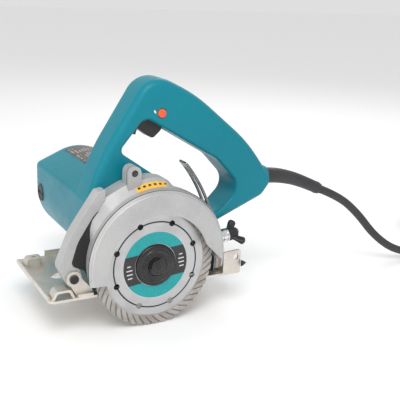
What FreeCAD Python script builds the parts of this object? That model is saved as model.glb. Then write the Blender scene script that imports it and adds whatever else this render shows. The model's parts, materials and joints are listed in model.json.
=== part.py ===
"""Handheld wet tile saw: fixed base with a depth guide, and a saw that tilts on the base's front pivot.

Axes: +X points to the rear handle, +Y points from the blade to the motor's end, +Z points up.
The origin lies on the sole (the base's underside), under the blade's axle, midway across the base.
Outlines are written in the arbor frame, whose origin is the blade's centre.
"""

import FreeCAD, Part
import math
import os

import Sketcher
from FreeCAD import Placement, Rotation, Vector

os.makedirs("parts", exist_ok=True)
doc = FreeCAD.newDocument("tile_saw")

# ---------------------------------------------------------------- driving dimensions, in millimetres
SIZES = {
    "arbor_height": 21.5,
    "arbor_side": 53.0,
    "blade_radius": 52.5,
    "rim_width": 8.5,
    "core_thick": 1.8,
    "rim_thick": 2.4,
    "arbor_bore": 10.0,
    "label_radius": 29.0,
    "label_thick": 0.2,
    "cooling_hole_radius": 2.5,
    "inner_flange_radius": 18.0,
    "outer_flange_radius": 18.0,
    "flange_thick": 4.0,
    "bolt_head_radius": 7.0,
    "bolt_head_height": 5.0,
    "spindle_radius": 6.0,
    "base_thick": 2.0,
    "far_flange_height": 7.0,
    "far_flange_low": 4.5,
    "hump_length": 11.0,
    "hump_screw_radius": 2.1,
    "adjust_hole_radius": 6.0,
    "pivot_pin_radius": 3.0,
    "pivot_eye_radius": 6.2,
    "running_gap": 0.05,
    "guide_radius": 129.0,
    "guide_thick": 2.0,
    "guide_width": 12.6,
    "slot_width": 6.6,
    "clamp_bolt_radius": 3.0,
    "case_wall": 2.5,
    "case_depth": 18.0,
    "case_cavity_depth": 13.5,
    "guard_thick": 2.4,
    "gearbox_depth": 14.1,
    "gear_width": 6.0,
    "gasket_thick": 0.5,
    "motor_radius": 41.0,
    "motor_length": 137.0,
    "motor_cavity_radius": 37.0,
    "rear_cover_length": 9.0,
    "brush_cap_radius": 8.5,
    "handle_half": 16.5,
    "handle_wall": 3.5,
    "handle_round": 6.5,
    "opening_round": 3.0,
    "trigger_width": 16.0,
    "button_radius": 3.7,
    "cord_radius": 4.0,
    "coil_height": 24.0,
    "coil_outer": 56.0,
    "coil_inner": 32.0,
    "shaft_radius": 5.0,
    "core_radius": 22.0,
    "core_length": 56.0,
    "stator_inner": 22.6,
    "fan_radius": 33.0,
    "commutator_radius": 13.0,
    "commutator_length": 12.0,
}
sheet = doc.addObject("Spreadsheet::Sheet", "sizes")
for row, (alias, value) in enumerate(SIZES.items(), 1):
    sheet.set(f"A{row}", alias)
    sheet.set(f"B{row}", str(value))
    sheet.setAlias(f"B{row}", alias)
doc.recompute()


def size(alias):
    """Value of one sheet cell."""
    return float(getattr(sheet, alias))


def at(x=0.0, y=0.0, z=0.0):
    """Part-frame point of an arbor-frame point."""
    return Vector(x, y - size("arbor_side"), z + size("arbor_height"))


# ---------------------------------------------------------------- main places in the arbor frame
PIVOT_X, PIVOT_Z = -67.0, -5.0
MOTOR_X, MOTOR_Z = -7.2, 24.982
SOLE_Z = -size("arbor_height")
CASE_NEAR = -10.0
CASE_BACK = CASE_NEAR + size("case_depth")
GUARD_NEAR = 10.0
GEARBOX_NEAR = GUARD_NEAR + size("guard_thick")
GEARBOX_BACK = GEARBOX_NEAR + size("gearbox_depth")
HANDLE_NEAR = GEARBOX_BACK + size("gasket_thick")
HANDLE_SPLIT = HANDLE_NEAR + size("handle_half")
HANDLE_FAR = HANDLE_SPLIT + size("handle_half")
MOTOR_FAR = HANDLE_NEAR + size("motor_length")
BRUSH_Y = 155.2
ALONG_Y = Rotation(Vector(1, 0, 0), -90)
ALONG_X = Rotation(Vector(0, 1, 0), 90)
SPINDLE_TEETH, PINION_TEETH = 34, 18

nodes = []


# ---------------------------------------------------------------- outlines
def corner_arcs(corners):
    """For each (x, y, radius) corner: where its arc starts, its middle, and where it ends."""
    count = len(corners)
    arcs = []
    for index, (x, y, radius) in enumerate(corners):
        here = Vector(x, y, 0)
        before = Vector(*corners[index - 1][:2], 0)
        after = Vector(*corners[(index + 1) % count][:2], 0)
        if radius <= 0:
            arcs.append((here, None, here))
            continue
        back = (before - here).normalize()
        ahead = (after - here).normalize()
        half = back.getAngle(ahead) / 2
        reach = radius / math.tan(half)
        bisector = (back + ahead).normalize()
        middle = here + bisector * (radius / math.sin(half) - radius)
        arcs.append((here + back * reach, middle, here + ahead * reach))
    return arcs


def rounded(corners):
    """Closed outline of straight sides joined by tangent arcs."""
    arcs = corner_arcs(corners)
    edges = []
    for index, (start, middle, end) in enumerate(arcs):
        if middle is not None:
            edges.append(Part.ArcOfCircle(start, middle, end))
        following = arcs[(index + 1) % len(arcs)][0]
        if (following - end).Length > 1e-4:
            edges.append(Part.LineSegment(end, following))
    return edges


def box_outline(x0, y0, x1, y1, radius=0.0):
    """Rectangle with equal corner radii."""
    return rounded([(x0, y0, radius), (x1, y0, radius), (x1, y1, radius), (x0, y1, radius)])


def offset_corners(corners, distance):
    """Counter-clockwise corners moved inwards by a distance (outwards when it is negative)."""
    moved = []
    count = len(corners)
    for index, (x, y, radius) in enumerate(corners):
        x_before, y_before, _ = corners[index - 1]
        x_after, y_after, _ = corners[(index + 1) % count]
        first = Vector(x - x_before, y - y_before, 0).normalize()
        second = Vector(x_after - x, y_after - y, 0).normalize()
        turn = first.x * second.y - first.y * second.x
        normal = Vector(-first.y - second.y, first.x + second.x, 0).normalize()
        shift = distance / math.sqrt((1 + first.dot(second)) / 2)
        new_radius = radius - distance if turn > 0 else radius + distance
        moved.append((x + normal.x * shift, y + normal.y * shift, max(new_radius, 0.5)))
    return moved


def polar(centre_x, centre_z, radius, degrees):
    """Point at an angle on a circle."""
    angle = math.radians(degrees)
    return centre_x + radius * math.cos(angle), centre_z + radius * math.sin(angle)


# ---------------------------------------------------------------- PartDesign helpers
def new_body(label, place):
    """Body whose origin stands at a point of the part frame."""
    body = doc.addObject("PartDesign::Body", label)
    body.Label = label
    body.Placement = Placement(place, Rotation())
    nodes.append(body)
    return body


def sketch_on(body, role, edges, shift=0.0):
    """Sketch on one of the body's own origin planes, moved along the plane's normal."""
    plane = next(f for f in body.Origin.OriginFeatures if f.Role == role)
    sketch = body.newObject("Sketcher::SketchObject", body.Name + "_sketch")
    sketch.AttachmentSupport = [(plane, "")]
    sketch.MapMode = "FlatFace"
    sketch.AttachmentOffset = Placement(Vector(0, 0, shift), Rotation())
    sketch.addGeometry(edges, False)
    return sketch


def circle_on(body, role, circles, shift=0.0):
    """Sketch of circles, given as (x, y, radius cell), whose radii follow the sheet."""
    sketch = sketch_on(body, role, [], shift)
    for x, y, alias in circles:
        index = sketch.addGeometry(Part.Circle(Vector(x, y, 0), Vector(0, 0, 1), size(alias)), False)
        rule = sketch.addConstraint(Sketcher.Constraint("Radius", index, size(alias)))
        sketch.setExpression(f"Constraints[{rule}]", f"sizes.{alias}")
    return sketch


def bind(feature, prop, length):
    """Set a length from a cell's name or a formula of cells, or from a plain number."""
    if isinstance(length, str):
        feature.setExpression(prop, length)
    else:
        setattr(feature, prop, length)


def pad(body, sketch, length, reverse=False):
    """Add material from a sketch."""
    feature = body.newObject("PartDesign::Pad", body.Name + "_pad")
    feature.Profile = sketch
    feature.Reversed = reverse
    bind(feature, "Length", length)
    return feature


def pocket(body, sketch, length, reverse=False, through=False, both=False):
    """Remove material from a sketch, and check that some was removed."""
    doc.recompute()
    before = body.Shape.Volume
    feature = body.newObject("PartDesign::Pocket", body.Name + "_pocket")
    feature.Profile = sketch
    feature.Reversed = reverse
    feature.Midplane = both
    if through:
        feature.Type = "ThroughAll"
    else:
        bind(feature, "Length", length)
    doc.recompute()
    if body.Shape.Volume > before - 0.01:
        raise ValueError(f"{body.Label}: a pocket removed nothing")
    return feature


def plate_y(label, outline, y_near, length, holes=()):
    """Plate with its faces across Y; its outline is in the arbor frame's X and Z."""
    body = new_body(label, at(0, y_near, 0))
    pad(body, sketch_on(body, "XZ_Plane", outline), length, reverse=True)
    if holes:
        pocket(body, circle_on(body, "XZ_Plane", holes), 0, through=True)
    return body


def pad_y(body, outline, start, length):
    """Add to a plate_y body, starting some distance behind its near face."""
    return pad(body, sketch_on(body, "XZ_Plane", outline, -start), length, reverse=True)


def pocket_y(body, outline, start, length):
    """Cut a plate_y body towards +Y, starting some distance behind its near face."""
    return pocket(body, sketch_on(body, "XZ_Plane", outline, -start), length)


# ---------------------------------------------------------------- Part helpers
def cylinder(name, place, rotation, radius, height, angle=360):
    """Part::Cylinder whose radius and height are cells, formulas or numbers."""
    shape = doc.addObject("Part::Cylinder", name)
    bind(shape, "Radius", radius)
    bind(shape, "Height", height)
    shape.Angle = angle
    shape.Placement = Placement(place, rotation)
    return shape


def block(name, place, length, width, height, rotation=Rotation()):
    """Part::Box with its corner at a point."""
    shape = doc.addObject("Part::Box", name)
    bind(shape, "Length", length)
    bind(shape, "Width", width)
    bind(shape, "Height", height)
    shape.Placement = Placement(place, rotation)
    return shape


def cone(name, place, rotation, radius_low, radius_high, height):
    """Part::Cone between two radii."""
    shape = doc.addObject("Part::Cone", name)
    bind(shape, "Radius1", radius_low)
    bind(shape, "Radius2", radius_high)
    bind(shape, "Height", height)
    shape.Placement = Placement(place, rotation)
    return shape


def fuse(name, shapes):
    """Union of Part objects."""
    union = doc.addObject("Part::MultiFuse", name)
    union.Shapes = shapes
    return union


def cut(name, base, tool):
    """Difference of two Part objects."""
    difference = doc.addObject("Part::Cut", name)
    difference.Base = base
    difference.Tool = tool
    return difference


def group(name, shapes):
    """Several separate solids in one node."""
    compound = doc.addObject("Part::Compound", name)
    compound.Links = shapes
    return compound


def node(shape):
    """Keep a Part object as a sub-part under its own name."""
    shape.Label = shape.Name
    nodes.append(shape)
    return shape


def turned_y(name, x, z, steps):
    """Stepped round bar along Y: steps are (y start, y end, radius)."""
    bars = []
    for index, (start, end, radius) in enumerate(steps):
        bars.append(cylinder(f"{name}_step{index}", at(x, start, z), ALONG_Y, radius, end - start))
    return fuse(name, bars)


def ring_y(name, x, z, start, end, outer, inner):
    """Round ring along Y."""
    outside = cylinder(name + "_outside", at(x, start, z), ALONG_Y, outer, end - start)
    inside = cylinder(name + "_inside", at(x, start - 1, z), ALONG_Y, inner, end - start + 2)
    return cut(name, outside, inside)


# ---------------------------------------------------------------- base: plate, pivot bracket, depth guide
BASE_FRONT, BASE_REAR, BASE_NEAR, BASE_FAR = -88.0, 86.0, 3.0, 103.0
HUMP_X = -76.5
HUMP_STARTS = (4.0, 80.0)
HUMP_FOOT, HUMP_TOP, HUMP_RISE = 10.5, 6.0, 7.4
NOTCH_HALF, NOTCH_DEPTH = 25.0, 30.0


def make_base_plate():
    """Steel plate with a gearbox notch, upturned edges and two bridges for a fence bar."""
    body = new_body("base_plate", at(0, 0, SOLE_Z))
    thick = size("base_thick")
    outline = rounded([
        (BASE_FRONT, BASE_NEAR, 4),
        (-NOTCH_HALF, BASE_NEAR, 0),
        (-NOTCH_HALF, NOTCH_DEPTH, 4),
        (NOTCH_HALF, NOTCH_DEPTH, 4),
        (NOTCH_HALF, BASE_NEAR, 0),
        (BASE_REAR, BASE_NEAR, 4),
        (BASE_REAR, BASE_FAR, 4),
        (BASE_FRONT, BASE_FAR, 4),
    ])
    pad(body, sketch_on(body, "XY_Plane", outline), "sizes.base_thick")
    far_edge = box_outline(BASE_FRONT + 26, BASE_FAR - thick, BASE_REAR - 6, BASE_FAR)
    pad(body, sketch_on(body, "XY_Plane", far_edge), "sizes.far_flange_low")
    for start, end in ((BASE_FRONT + 26, MOTOR_X - 22), (MOTOR_X + 22, BASE_REAR - 6)):
        tall_edge = box_outline(start, BASE_FAR - thick, end, BASE_FAR)
        pad(body, sketch_on(body, "XY_Plane", tall_edge), "sizes.far_flange_height")
    front_lip = box_outline(BASE_FRONT, BASE_NEAR + 5, BASE_FRONT + 1.6, BASE_FAR - 5)
    pad(body, sketch_on(body, "XY_Plane", front_lip), 4.2)
    rear_lip = box_outline(BASE_REAR - 1.6, BASE_NEAR + 8, BASE_REAR, BASE_FAR - 8)
    pad(body, sketch_on(body, "XY_Plane", rear_lip), 5.5)
    inner_foot = HUMP_FOOT - thick
    for start in HUMP_STARTS:
        arch = rounded([
            (HUMP_X - HUMP_FOOT, 0, 0),
            (HUMP_X - inner_foot, 0, 0),
            (HUMP_X - HUMP_TOP + 1.4, HUMP_RISE, 1.5),
            (HUMP_X + HUMP_TOP - 1.4, HUMP_RISE, 1.5),
            (HUMP_X + inner_foot, 0, 0),
            (HUMP_X + HUMP_FOOT, 0, 0),
            (HUMP_X + HUMP_TOP, HUMP_RISE + thick, 3),
            (HUMP_X - HUMP_TOP, HUMP_RISE + thick, 3),
        ])
        pad(body, sketch_on(body, "XZ_Plane", arch, -start), "sizes.hump_length", reverse=True)
    centre = HUMP_STARTS[1] + size("hump_length") / 2
    screw = circle_on(body, "XY_Plane", [(HUMP_X, centre, "hump_screw_radius")], HUMP_RISE - 1)
    pocket(body, screw, 5, reverse=True)
    hole = circle_on(body, "XY_Plane", [(-66, 53, "adjust_hole_radius")])
    pocket(body, hole, 0, through=True, reverse=True)
    return body


EAR_NEAR, EAR_THICK = 6.5, 2.5
ARM_NEAR, ARM_THICK = 9.3, 11.0
EAR_FAR = ARM_NEAR + ARM_THICK + 0.3
FOOT_FRONT, FOOT_REAR = -64.8, -52.0


def make_pivot_bracket():
    """U-shaped steel bracket on the base's front, with a foot towards the blade side."""
    floor = SOLE_Z + size("base_thick")
    eye = size("pivot_eye_radius")
    ear = rounded([
        (FOOT_FRONT, floor, 0),
        (FOOT_REAR, floor, 0),
        (FOOT_REAR, floor + 4, 2),
        (PIVOT_X + eye, PIVOT_Z, 5),
        (PIVOT_X + eye - 0.5, PIVOT_Z + eye, 5.2),
        (PIVOT_X - eye + 0.5, PIVOT_Z + eye, 5.2),
        (PIVOT_X - eye, PIVOT_Z - 3, 4),
        (FOOT_FRONT - 4.4, floor + 8, 2),
    ])
    body = new_body("front_pivot_bracket", at(0, EAR_NEAR, 0))
    pad_y(body, ear, 0, EAR_THICK)
    pad_y(body, ear, EAR_FAR - EAR_NEAR, EAR_THICK)
    web = box_outline(FOOT_FRONT, floor, FOOT_REAR, floor + 2.2)
    pad_y(body, web, 0, EAR_FAR + EAR_THICK - EAR_NEAR)
    pad_y(body, web, BASE_NEAR + 0.2 - EAR_NEAR, EAR_NEAR - BASE_NEAR)
    pin = circle_on(body, "XZ_Plane", [(PIVOT_X, PIVOT_Z, "pivot_pin_radius")], 5)
    pocket(body, pin, 0, through=True)
    return body


def make_pivot_pin():
    """Headed pin through the bracket's ears and the arm's eye."""
    head = size("pivot_pin_radius") + 0.7
    return turned_y("pivot_pin", PIVOT_X, PIVOT_Z, [
        (EAR_NEAR - 1.4, EAR_NEAR, head),
        (EAR_NEAR, EAR_FAR + EAR_THICK, size("pivot_pin_radius")),
        (EAR_FAR + EAR_THICK, EAR_FAR + EAR_THICK + 1.4, head),
    ])


GUIDE_NEAR = 10.4
GUIDE_LOW, GUIDE_HIGH = -6.3, 41.0
SLOT_LOW, SLOT_HIGH = 3.0, 38.5
CLAMP_TILT = 6.2


def guide_sector(name, inner, outer, start, width, low, high):
    """Curved bar about the pivot, between two angles above the horizontal."""
    span = high - low
    turn = Rotation(Vector(0, 1, 0), -high) * ALONG_Y
    outside = cylinder(name + "_outside", at(PIVOT_X, start, PIVOT_Z), turn, outer, width, span)
    inside = cylinder(name + "_inside", at(PIVOT_X, start - 1, PIVOT_Z), turn, inner, width + 2)
    return cut(name, outside, inside)


def make_depth_guide():
    """Slotted steel strip curved about the pivot, with a small stop tab at its top."""
    inner = size("guide_radius")
    outer = inner + size("guide_thick")
    strip = guide_sector("guide_strip", inner, outer, GUIDE_NEAR, size("guide_width"), GUIDE_LOW, GUIDE_HIGH)
    middle = GUIDE_NEAR + size("guide_width") / 2
    slot_near = middle - size("slot_width") / 2
    slot = guide_sector("guide_slot", inner - 1, outer + 1, slot_near, size("slot_width"), SLOT_LOW, SLOT_HIGH)
    return cut("depth_guide", strip, slot)


BRACKET_FRONT, BRACKET_REAR = 67.0, 84.2


def make_guide_bracket():
    """Angle bracket that holds the guide's foot: a wall to the blade side, a flange and a floor."""
    floor = SOLE_Z + size("base_thick")
    front = BRACKET_FRONT
    body = new_body("guide_bracket", at(0, BASE_NEAR, 0))
    side = rounded([(front, floor, 0), (BRACKET_REAR, floor, 0), (BRACKET_REAR, 0.5, 2), (front, -0.5, 2)])
    pad_y(body, side, 0, 2.0)
    flange = box_outline(front, floor, front + 2, -1)
    pad_y(body, flange, 0, GUIDE_NEAR + size("guide_width") - BASE_NEAR)
    foot = box_outline(front, floor, BRACKET_REAR, floor + 2)
    pad_y(body, foot, 0, GUIDE_NEAR + size("guide_width") - BASE_NEAR)
    screw = sketch_on(body, "XZ_Plane", [Part.Circle(Vector(79.5, -6, 0), Vector(0, 0, 1), 2.6)])
    pocket(body, screw, 2.5)
    return body


def make_base_fasteners():
    """Screws and rivets that hold the two brackets to the base plate and the guide to its bracket."""
    floor = SOLE_Z + size("base_thick") + 2.0
    places = [(-61.0, 15.0, floor + 0.2), (-55.5, 15.0, floor + 0.2), (79.5, 12.0, floor), (73.5, 18.0, floor)]
    heads = [cylinder(f"base_screw{index}", at(x, y, rise), Rotation(), 2.2, 1.6)
             for index, (x, y, rise) in enumerate(places)]
    return group("base_screws", heads)


def make_guide_spacer():
    """Spacer block between the guide's foot and the bracket's flange."""
    start = PIVOT_X + size("guide_radius") + size("guide_thick")
    floor = SOLE_Z + size("base_thick")
    return block("guide_spacer", at(start, GUIDE_NEAR + 1, floor + 2), BRACKET_FRONT - start, 10.6, 12.0)


# ---------------------------------------------------------------- blade and spindle
def toothed_outline(teeth, phase):
    """Spur gear outline of module 1: straight-sided teeth with rounded-off thickness for backlash."""
    pitch_radius = teeth / 2
    step = 2 * math.pi / teeth
    points = []
    for tooth in range(teeth):
        centre = math.radians(phase) + tooth * step
        for radius, half in ((pitch_radius - 1.25, 0.26), (pitch_radius + 0.9, 0.08)):
            points.append((radius, centre - half * step))
        for radius, half in ((pitch_radius + 0.9, 0.08), (pitch_radius - 1.25, 0.26)):
            points.append((radius, centre + half * step))
    corners = [(radius * math.cos(angle), radius * math.sin(angle), 0) for radius, angle in points]
    return rounded(corners)


def meshing_phase():
    """Angle of the pinion's first tooth that sets a gap over the drive gear's tooth."""
    line = math.degrees(math.atan2(MOTOR_Z, MOTOR_X))
    return line * (1 + SPINDLE_TEETH / PINION_TEETH) + 180 * (1 + 1 / PINION_TEETH)


def make_gear(label, x, z, teeth, phase, bore_radius):
    """Spur gear along Y with a plain bore."""
    body = new_body(label, at(x, GEARBOX_NEAR + 0.5, z))
    pad(body, sketch_on(body, "XZ_Plane", toothed_outline(teeth, phase)), "sizes.gear_width", reverse=True)
    bore = [Part.Circle(Vector(0, 0, 0), Vector(0, 0, 1), bore_radius)]
    pocket(body, sketch_on(body, "XZ_Plane", bore), 0, through=True)
    return body


def make_blade():
    """Steel core with cooling holes, thicker diamond rim, and a thin printed label."""
    radius = size("blade_radius")
    core = plate_y("blade_core", [Part.Circle(Vector(0, 0, 0), Vector(0, 0, 1), radius - size("rim_width"))],
                   -size("core_thick") / 2, "sizes.core_thick", [(0, 0, "arbor_bore")])
    holes = [(*polar(0, 0, 36.8, 22.5 + 45 * step), "cooling_hole_radius") for step in range(8)]
    pocket(core, circle_on(core, "XZ_Plane", holes), 0, through=True)
    plate_y("blade_rim", [
        Part.Circle(Vector(0, 0, 0), Vector(0, 0, 1), radius),
        Part.Circle(Vector(0, 0, 0), Vector(0, 0, 1), radius - size("rim_width")),
    ], -size("rim_thick") / 2, "sizes.rim_thick")
    label_near = -size("core_thick") / 2 - size("label_thick")
    node(ring_y("blade_label", 0, 0, label_near, label_near + size("label_thick"),
                size("label_radius"), size("outer_flange_radius") + 0.4))


FLANGE_NEAR = -size("core_thick") / 2 - size("flange_thick")


def make_spindle_set():
    """Spindle, flanges and the bolt that clamps the blade."""
    half_core = size("core_thick") / 2
    inner_near = half_core
    inner_far = inner_near + size("flange_thick")
    bolt_near = FLANGE_NEAR - size("bolt_head_height")
    node(turned_y("spindle", 0, 0, [
        (-half_core + 0.1, half_core, size("arbor_bore") - 0.02),
        (half_core, inner_far, size("spindle_radius") + 1.5),
        (inner_far, GEARBOX_BACK - 1.2, size("spindle_radius")),
    ]))
    inner = ring_y("inner_flange_disc", 0, 0, inner_near, inner_far,
                   size("inner_flange_radius"), size("spindle_radius") + 1.5)
    inner.Label = "inner_flange"
    nodes.append(inner)
    flange = turned_y("outer_flange_solid", 0, 0, [
        (FLANGE_NEAR + 2.0, -half_core, size("outer_flange_radius")),
        (FLANGE_NEAR + 0.8, FLANGE_NEAR + 2.0, size("outer_flange_radius") - 4.5),
        (FLANGE_NEAR, FLANGE_NEAR + 0.8, size("bolt_head_radius") + 3.5),
    ])
    flange_bore = cylinder("outer_flange_bore", at(0, FLANGE_NEAR - 1, 0), ALONG_Y, 4.0, 10)
    node(cut("outer_flange", flange, flange_bore))
    head_edges = rounded([(*polar(0, 0, size("bolt_head_radius"), 60 * side + 15), 0) for side in range(6)])
    bolt = plate_y("blade_bolt", head_edges, bolt_near, "sizes.bolt_head_height")
    shank = [Part.Circle(Vector(0, 0, 0), Vector(0, 0, 1), 3.98)]
    pad_y(bolt, shank, size("bolt_head_height"), FLANGE_NEAR * -1 - half_core + 0.1)
    return bolt


# ---------------------------------------------------------------- blade case and gearbox
def circle_edge(x, z, radius):
    """Full circle as a sketch outline."""
    return [Part.Circle(Vector(x, z, 0), Vector(0, 0, 1), radius)]


def loft(body, sections):
    """Ruled loft through (distance behind the near face, outline) sections."""
    sketches = [sketch_on(body, "XZ_Plane", outline, -start) for start, outline in sections]
    feature = body.newObject("PartDesign::AdditiveLoft", body.Name + "_loft")
    feature.Profile = sketches[0]
    feature.Sections = sketches[1:]
    feature.Ruled = True
    return feature


CASE_LEFT_TIP, CASE_RIGHT_TIP = -9.0, -1.0
CASE_BACK_CIRCLE = (4.5, 3.5, 60.4)
BOSS_X, BOSS_Z, BOSS_RADIUS, BOSS_NEAR = -16.0, 76.4, 5.6, 7.0
CASE_SCREWS = [(BOSS_X, BOSS_Z, BOSS_NEAR), (34.0, 34.0, 6.0), (-34.0, 36.0, 6.0)]


def make_blade_case():
    """Cast cover over the blade's upper half: flared wall, crescent near face and closed back."""
    body = new_body("blade_case", at(0, CASE_NEAR, 0))
    loft(body, [
        (0.0, circle_edge(0, 4.5, 57.6)),
        (2.4, circle_edge(0, 4.5, 60.0)),
        (size("case_depth"), circle_edge(*CASE_BACK_CIRCLE)),
    ])
    pad_y(body, circle_edge(*CASE_BACK_CIRCLE), size("case_depth"), GUARD_NEAR - CASE_BACK)
    pocket_y(body, circle_edge(0, 1.0, 56.0), size("case_wall"), "sizes.case_cavity_depth")
    window_start = Vector(-44.4, -7.5, 0)
    window_end = Vector(42.5, 14.8, 0)
    inner_arc = Part.ArcOfCircle(window_start, Vector(*polar(0, 0, 45.0, 95), 0), window_end)
    corners = [window_end, Vector(58.0, -1.0, 0), Vector(75.0, -12.0, 0), Vector(75.0, -75.0, 0),
               Vector(-75.0, -75.0, 0), Vector(-75.0, -7.5, 0), window_start]
    sides = [Part.LineSegment(first, second) for first, second in zip(corners, corners[1:])]
    pocket_y(body, [inner_arc] + sides, 0.0, 4.0)
    below = rounded([(-75, CASE_LEFT_TIP, 0), (-75, -80, 0), (75, -80, 0), (75, CASE_RIGHT_TIP, 0),
                     (50, CASE_RIGHT_TIP, 0), (40, CASE_LEFT_TIP, 0)])
    pocket_y(body, below, 0.0, 24.0)
    boss = circle_edge(BOSS_X, BOSS_Z, BOSS_RADIUS)
    neck = box_outline(BOSS_X - BOSS_RADIUS, 58.0, BOSS_X + BOSS_RADIUS, BOSS_Z)
    pad_y(body, boss, BOSS_NEAR - CASE_NEAR, GUARD_NEAR - BOSS_NEAR)
    pad_y(body, neck, BOSS_NEAR - CASE_NEAR, GUARD_NEAR - BOSS_NEAR)
    bearing_seat = circle_edge(0, 0, 14.0)
    collar = circle_edge(0, 0, 17.5)
    pad_y(body, collar, GUARD_NEAR - CASE_NEAR, size("guard_thick"))
    pocket_y(body, bearing_seat, 10.0, 14.0)
    for x, z, _ in CASE_SCREWS:
        pocket_y(body, circle_edge(x, z, 2.2), 14.0, 8.0)
    return body


FLANGE = [
    (-49.0, 30.0, 20),
    (-44.0, -6.0, 22),
    (-18.0, -20.8, 9),
    (18.0, -20.8, 9),
    (34.0, 0.0, 14),
    (53.0, 8.0, 10),
    (46.0, 44.0, 14),
    (23.0, 58.5, 10),
    (14.0, 68.5, 8),
    (0.0, 71.5, 30),
    (-22.0, 66.5, 30),
    (-43.5, 56.0, 4),
    (-48.0, 46.0, 5),
]
ARM = [
    (-40.0, 64.5, 0),
    (-46.0, 63.5, 3),
    (-67.5, 32.0, 30),
    (-79.0, 5.0, 10),
    (PIVOT_X - 4.5, PIVOT_Z - 6.0, 5),
    (PIVOT_X + 7.5, PIVOT_Z - 5.5, 5),
    (PIVOT_X + 6.0, PIVOT_Z + 7.0, 6),
    (-69.0, 5.0, 5),
    (-63.0, 24.0, 30),
    (-49.0, 46.0, 20),
    (-40.0, 52.0, 0),
]


def make_gearbox():
    """Cast gear housing with the flange behind the blade case, the tilting arm and the clamp lug."""
    body = new_body("gear_housing", at(0, GEARBOX_NEAR, 0))
    pad(body, sketch_on(body, "XZ_Plane", rounded(FLANGE)), "sizes.gearbox_depth", reverse=True)
    arm_start = ARM_NEAR - GEARBOX_NEAR
    pad_y(body, rounded(ARM), arm_start, ARM_THICK)
    lug = rounded([(45, 5.0, 0), (60.0, 5.0, 2), (58.6, 18.0, 3), (45, 24, 0)])
    pad_y(body, lug, 0.0, 9.0)
    boss = circle_edge(BOSS_X, BOSS_Z, BOSS_RADIUS)
    pad_y(body, boss, 0.0, 7.0)
    neck = box_outline(BOSS_X - BOSS_RADIUS, 58.0, BOSS_X + BOSS_RADIUS, BOSS_Z)
    pad_y(body, neck, 0.0, 7.0)
    eye = sketch_on(body, "XZ_Plane", circle_edge(PIVOT_X, PIVOT_Z, size("pivot_pin_radius") + 0.05), 10)
    pocket(body, eye, 0, through=True)
    pocket_y(body, circle_edge(0, 0, 18.45), 0.0, 7.1)
    pocket_y(body, circle_edge(MOTOR_X, MOTOR_Z, 10.6), 0.0, 7.1)
    pocket_y(body, circle_edge(0, 0, 9.5), 7.0, 6.0)
    pocket_y(body, circle_edge(MOTOR_X, MOTOR_Z, 11.0), 7.05, 7.2)
    return body


def make_inner_guard():
    """Dark plate behind the blade, between the arm, the case and the base."""
    low = SOLE_Z + size("base_thick") + 1.2
    outline = rounded([
        (-66.0, 22.0, 2),
        (-69.5, 6.5, 2),
        (-56.5, -1.0, 2),
        (-50.5, low, 2),
        (59.5, low, 2),
        (57.0, 4.0, 3),
        (44.0, 34.0, 10),
        (-40.0, 52.0, 4),
        (-51.5, 43.0, 4),
    ])
    body = new_body("inner_guard", at(0, GUARD_NEAR, 0))
    pad(body, sketch_on(body, "XZ_Plane", outline), "sizes.guard_thick", reverse=True)
    pocket_y(body, circle_edge(0, 0, 17.6), 0.0, 4.0)
    pocket_y(body, rounded(offset_corners(ARM, -0.1)), 0.0, 4.0)
    return body


# ---------------------------------------------------------------- motor
def motor_profile(radius):
    """Round housing with a flat, nearly upright front side and one crisp upper front edge."""
    start = Vector(*polar(MOTOR_X, MOTOR_Z, radius, 180), 0)
    low = Vector(*polar(MOTOR_X, MOTOR_Z, radius, 270), 0)
    right = Vector(*polar(MOTOR_X, MOTOR_Z, radius, 0), 0)
    crown = Vector(*polar(MOTOR_X, MOTOR_Z, radius, 114), 0)
    upper = Vector(*polar(MOTOR_X, MOTOR_Z, radius, 57), 0)
    slope = Vector(-math.sin(math.radians(114)), math.cos(math.radians(114)), 0)
    front_x = start.x
    reach = (front_x - crown.x) / slope.x
    corner_z = crown.y + slope.y * reach
    arcs = corner_arcs([(start.x, start.y, 0), (front_x, corner_z, 5), (crown.x, crown.y, 0)])
    begin, middle, end = arcs[1]
    return [
        Part.ArcOfCircle(start, low, right),
        Part.ArcOfCircle(right, upper, crown),
        Part.LineSegment(crown, end),
        Part.ArcOfCircle(end, middle, begin),
        Part.LineSegment(begin, start),
    ]


def make_motor_housing():
    """Moulded housing, open at its far end, with a bearing wall at its near end."""
    body = new_body("motor_housing", at(0, HANDLE_NEAR, 0))
    pad(body, sketch_on(body, "XZ_Plane", motor_profile(size("motor_radius"))), "sizes.motor_length", reverse=True)
    cavity = circle_on(body, "XZ_Plane", [(MOTOR_X, MOTOR_Z, "motor_cavity_radius")], -3.0)
    pocket(body, cavity, "sizes.motor_length")
    pocket_y(body, circle_edge(MOTOR_X, MOTOR_Z, 9.0), 0.0, 4.0)
    caps = sketch_on(body, "YZ_Plane", circle_edge(BRUSH_Y - HANDLE_NEAR, MOTOR_Z, size("brush_cap_radius") + 0.1))
    pocket(body, caps, 200, both=True)
    return body


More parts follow.
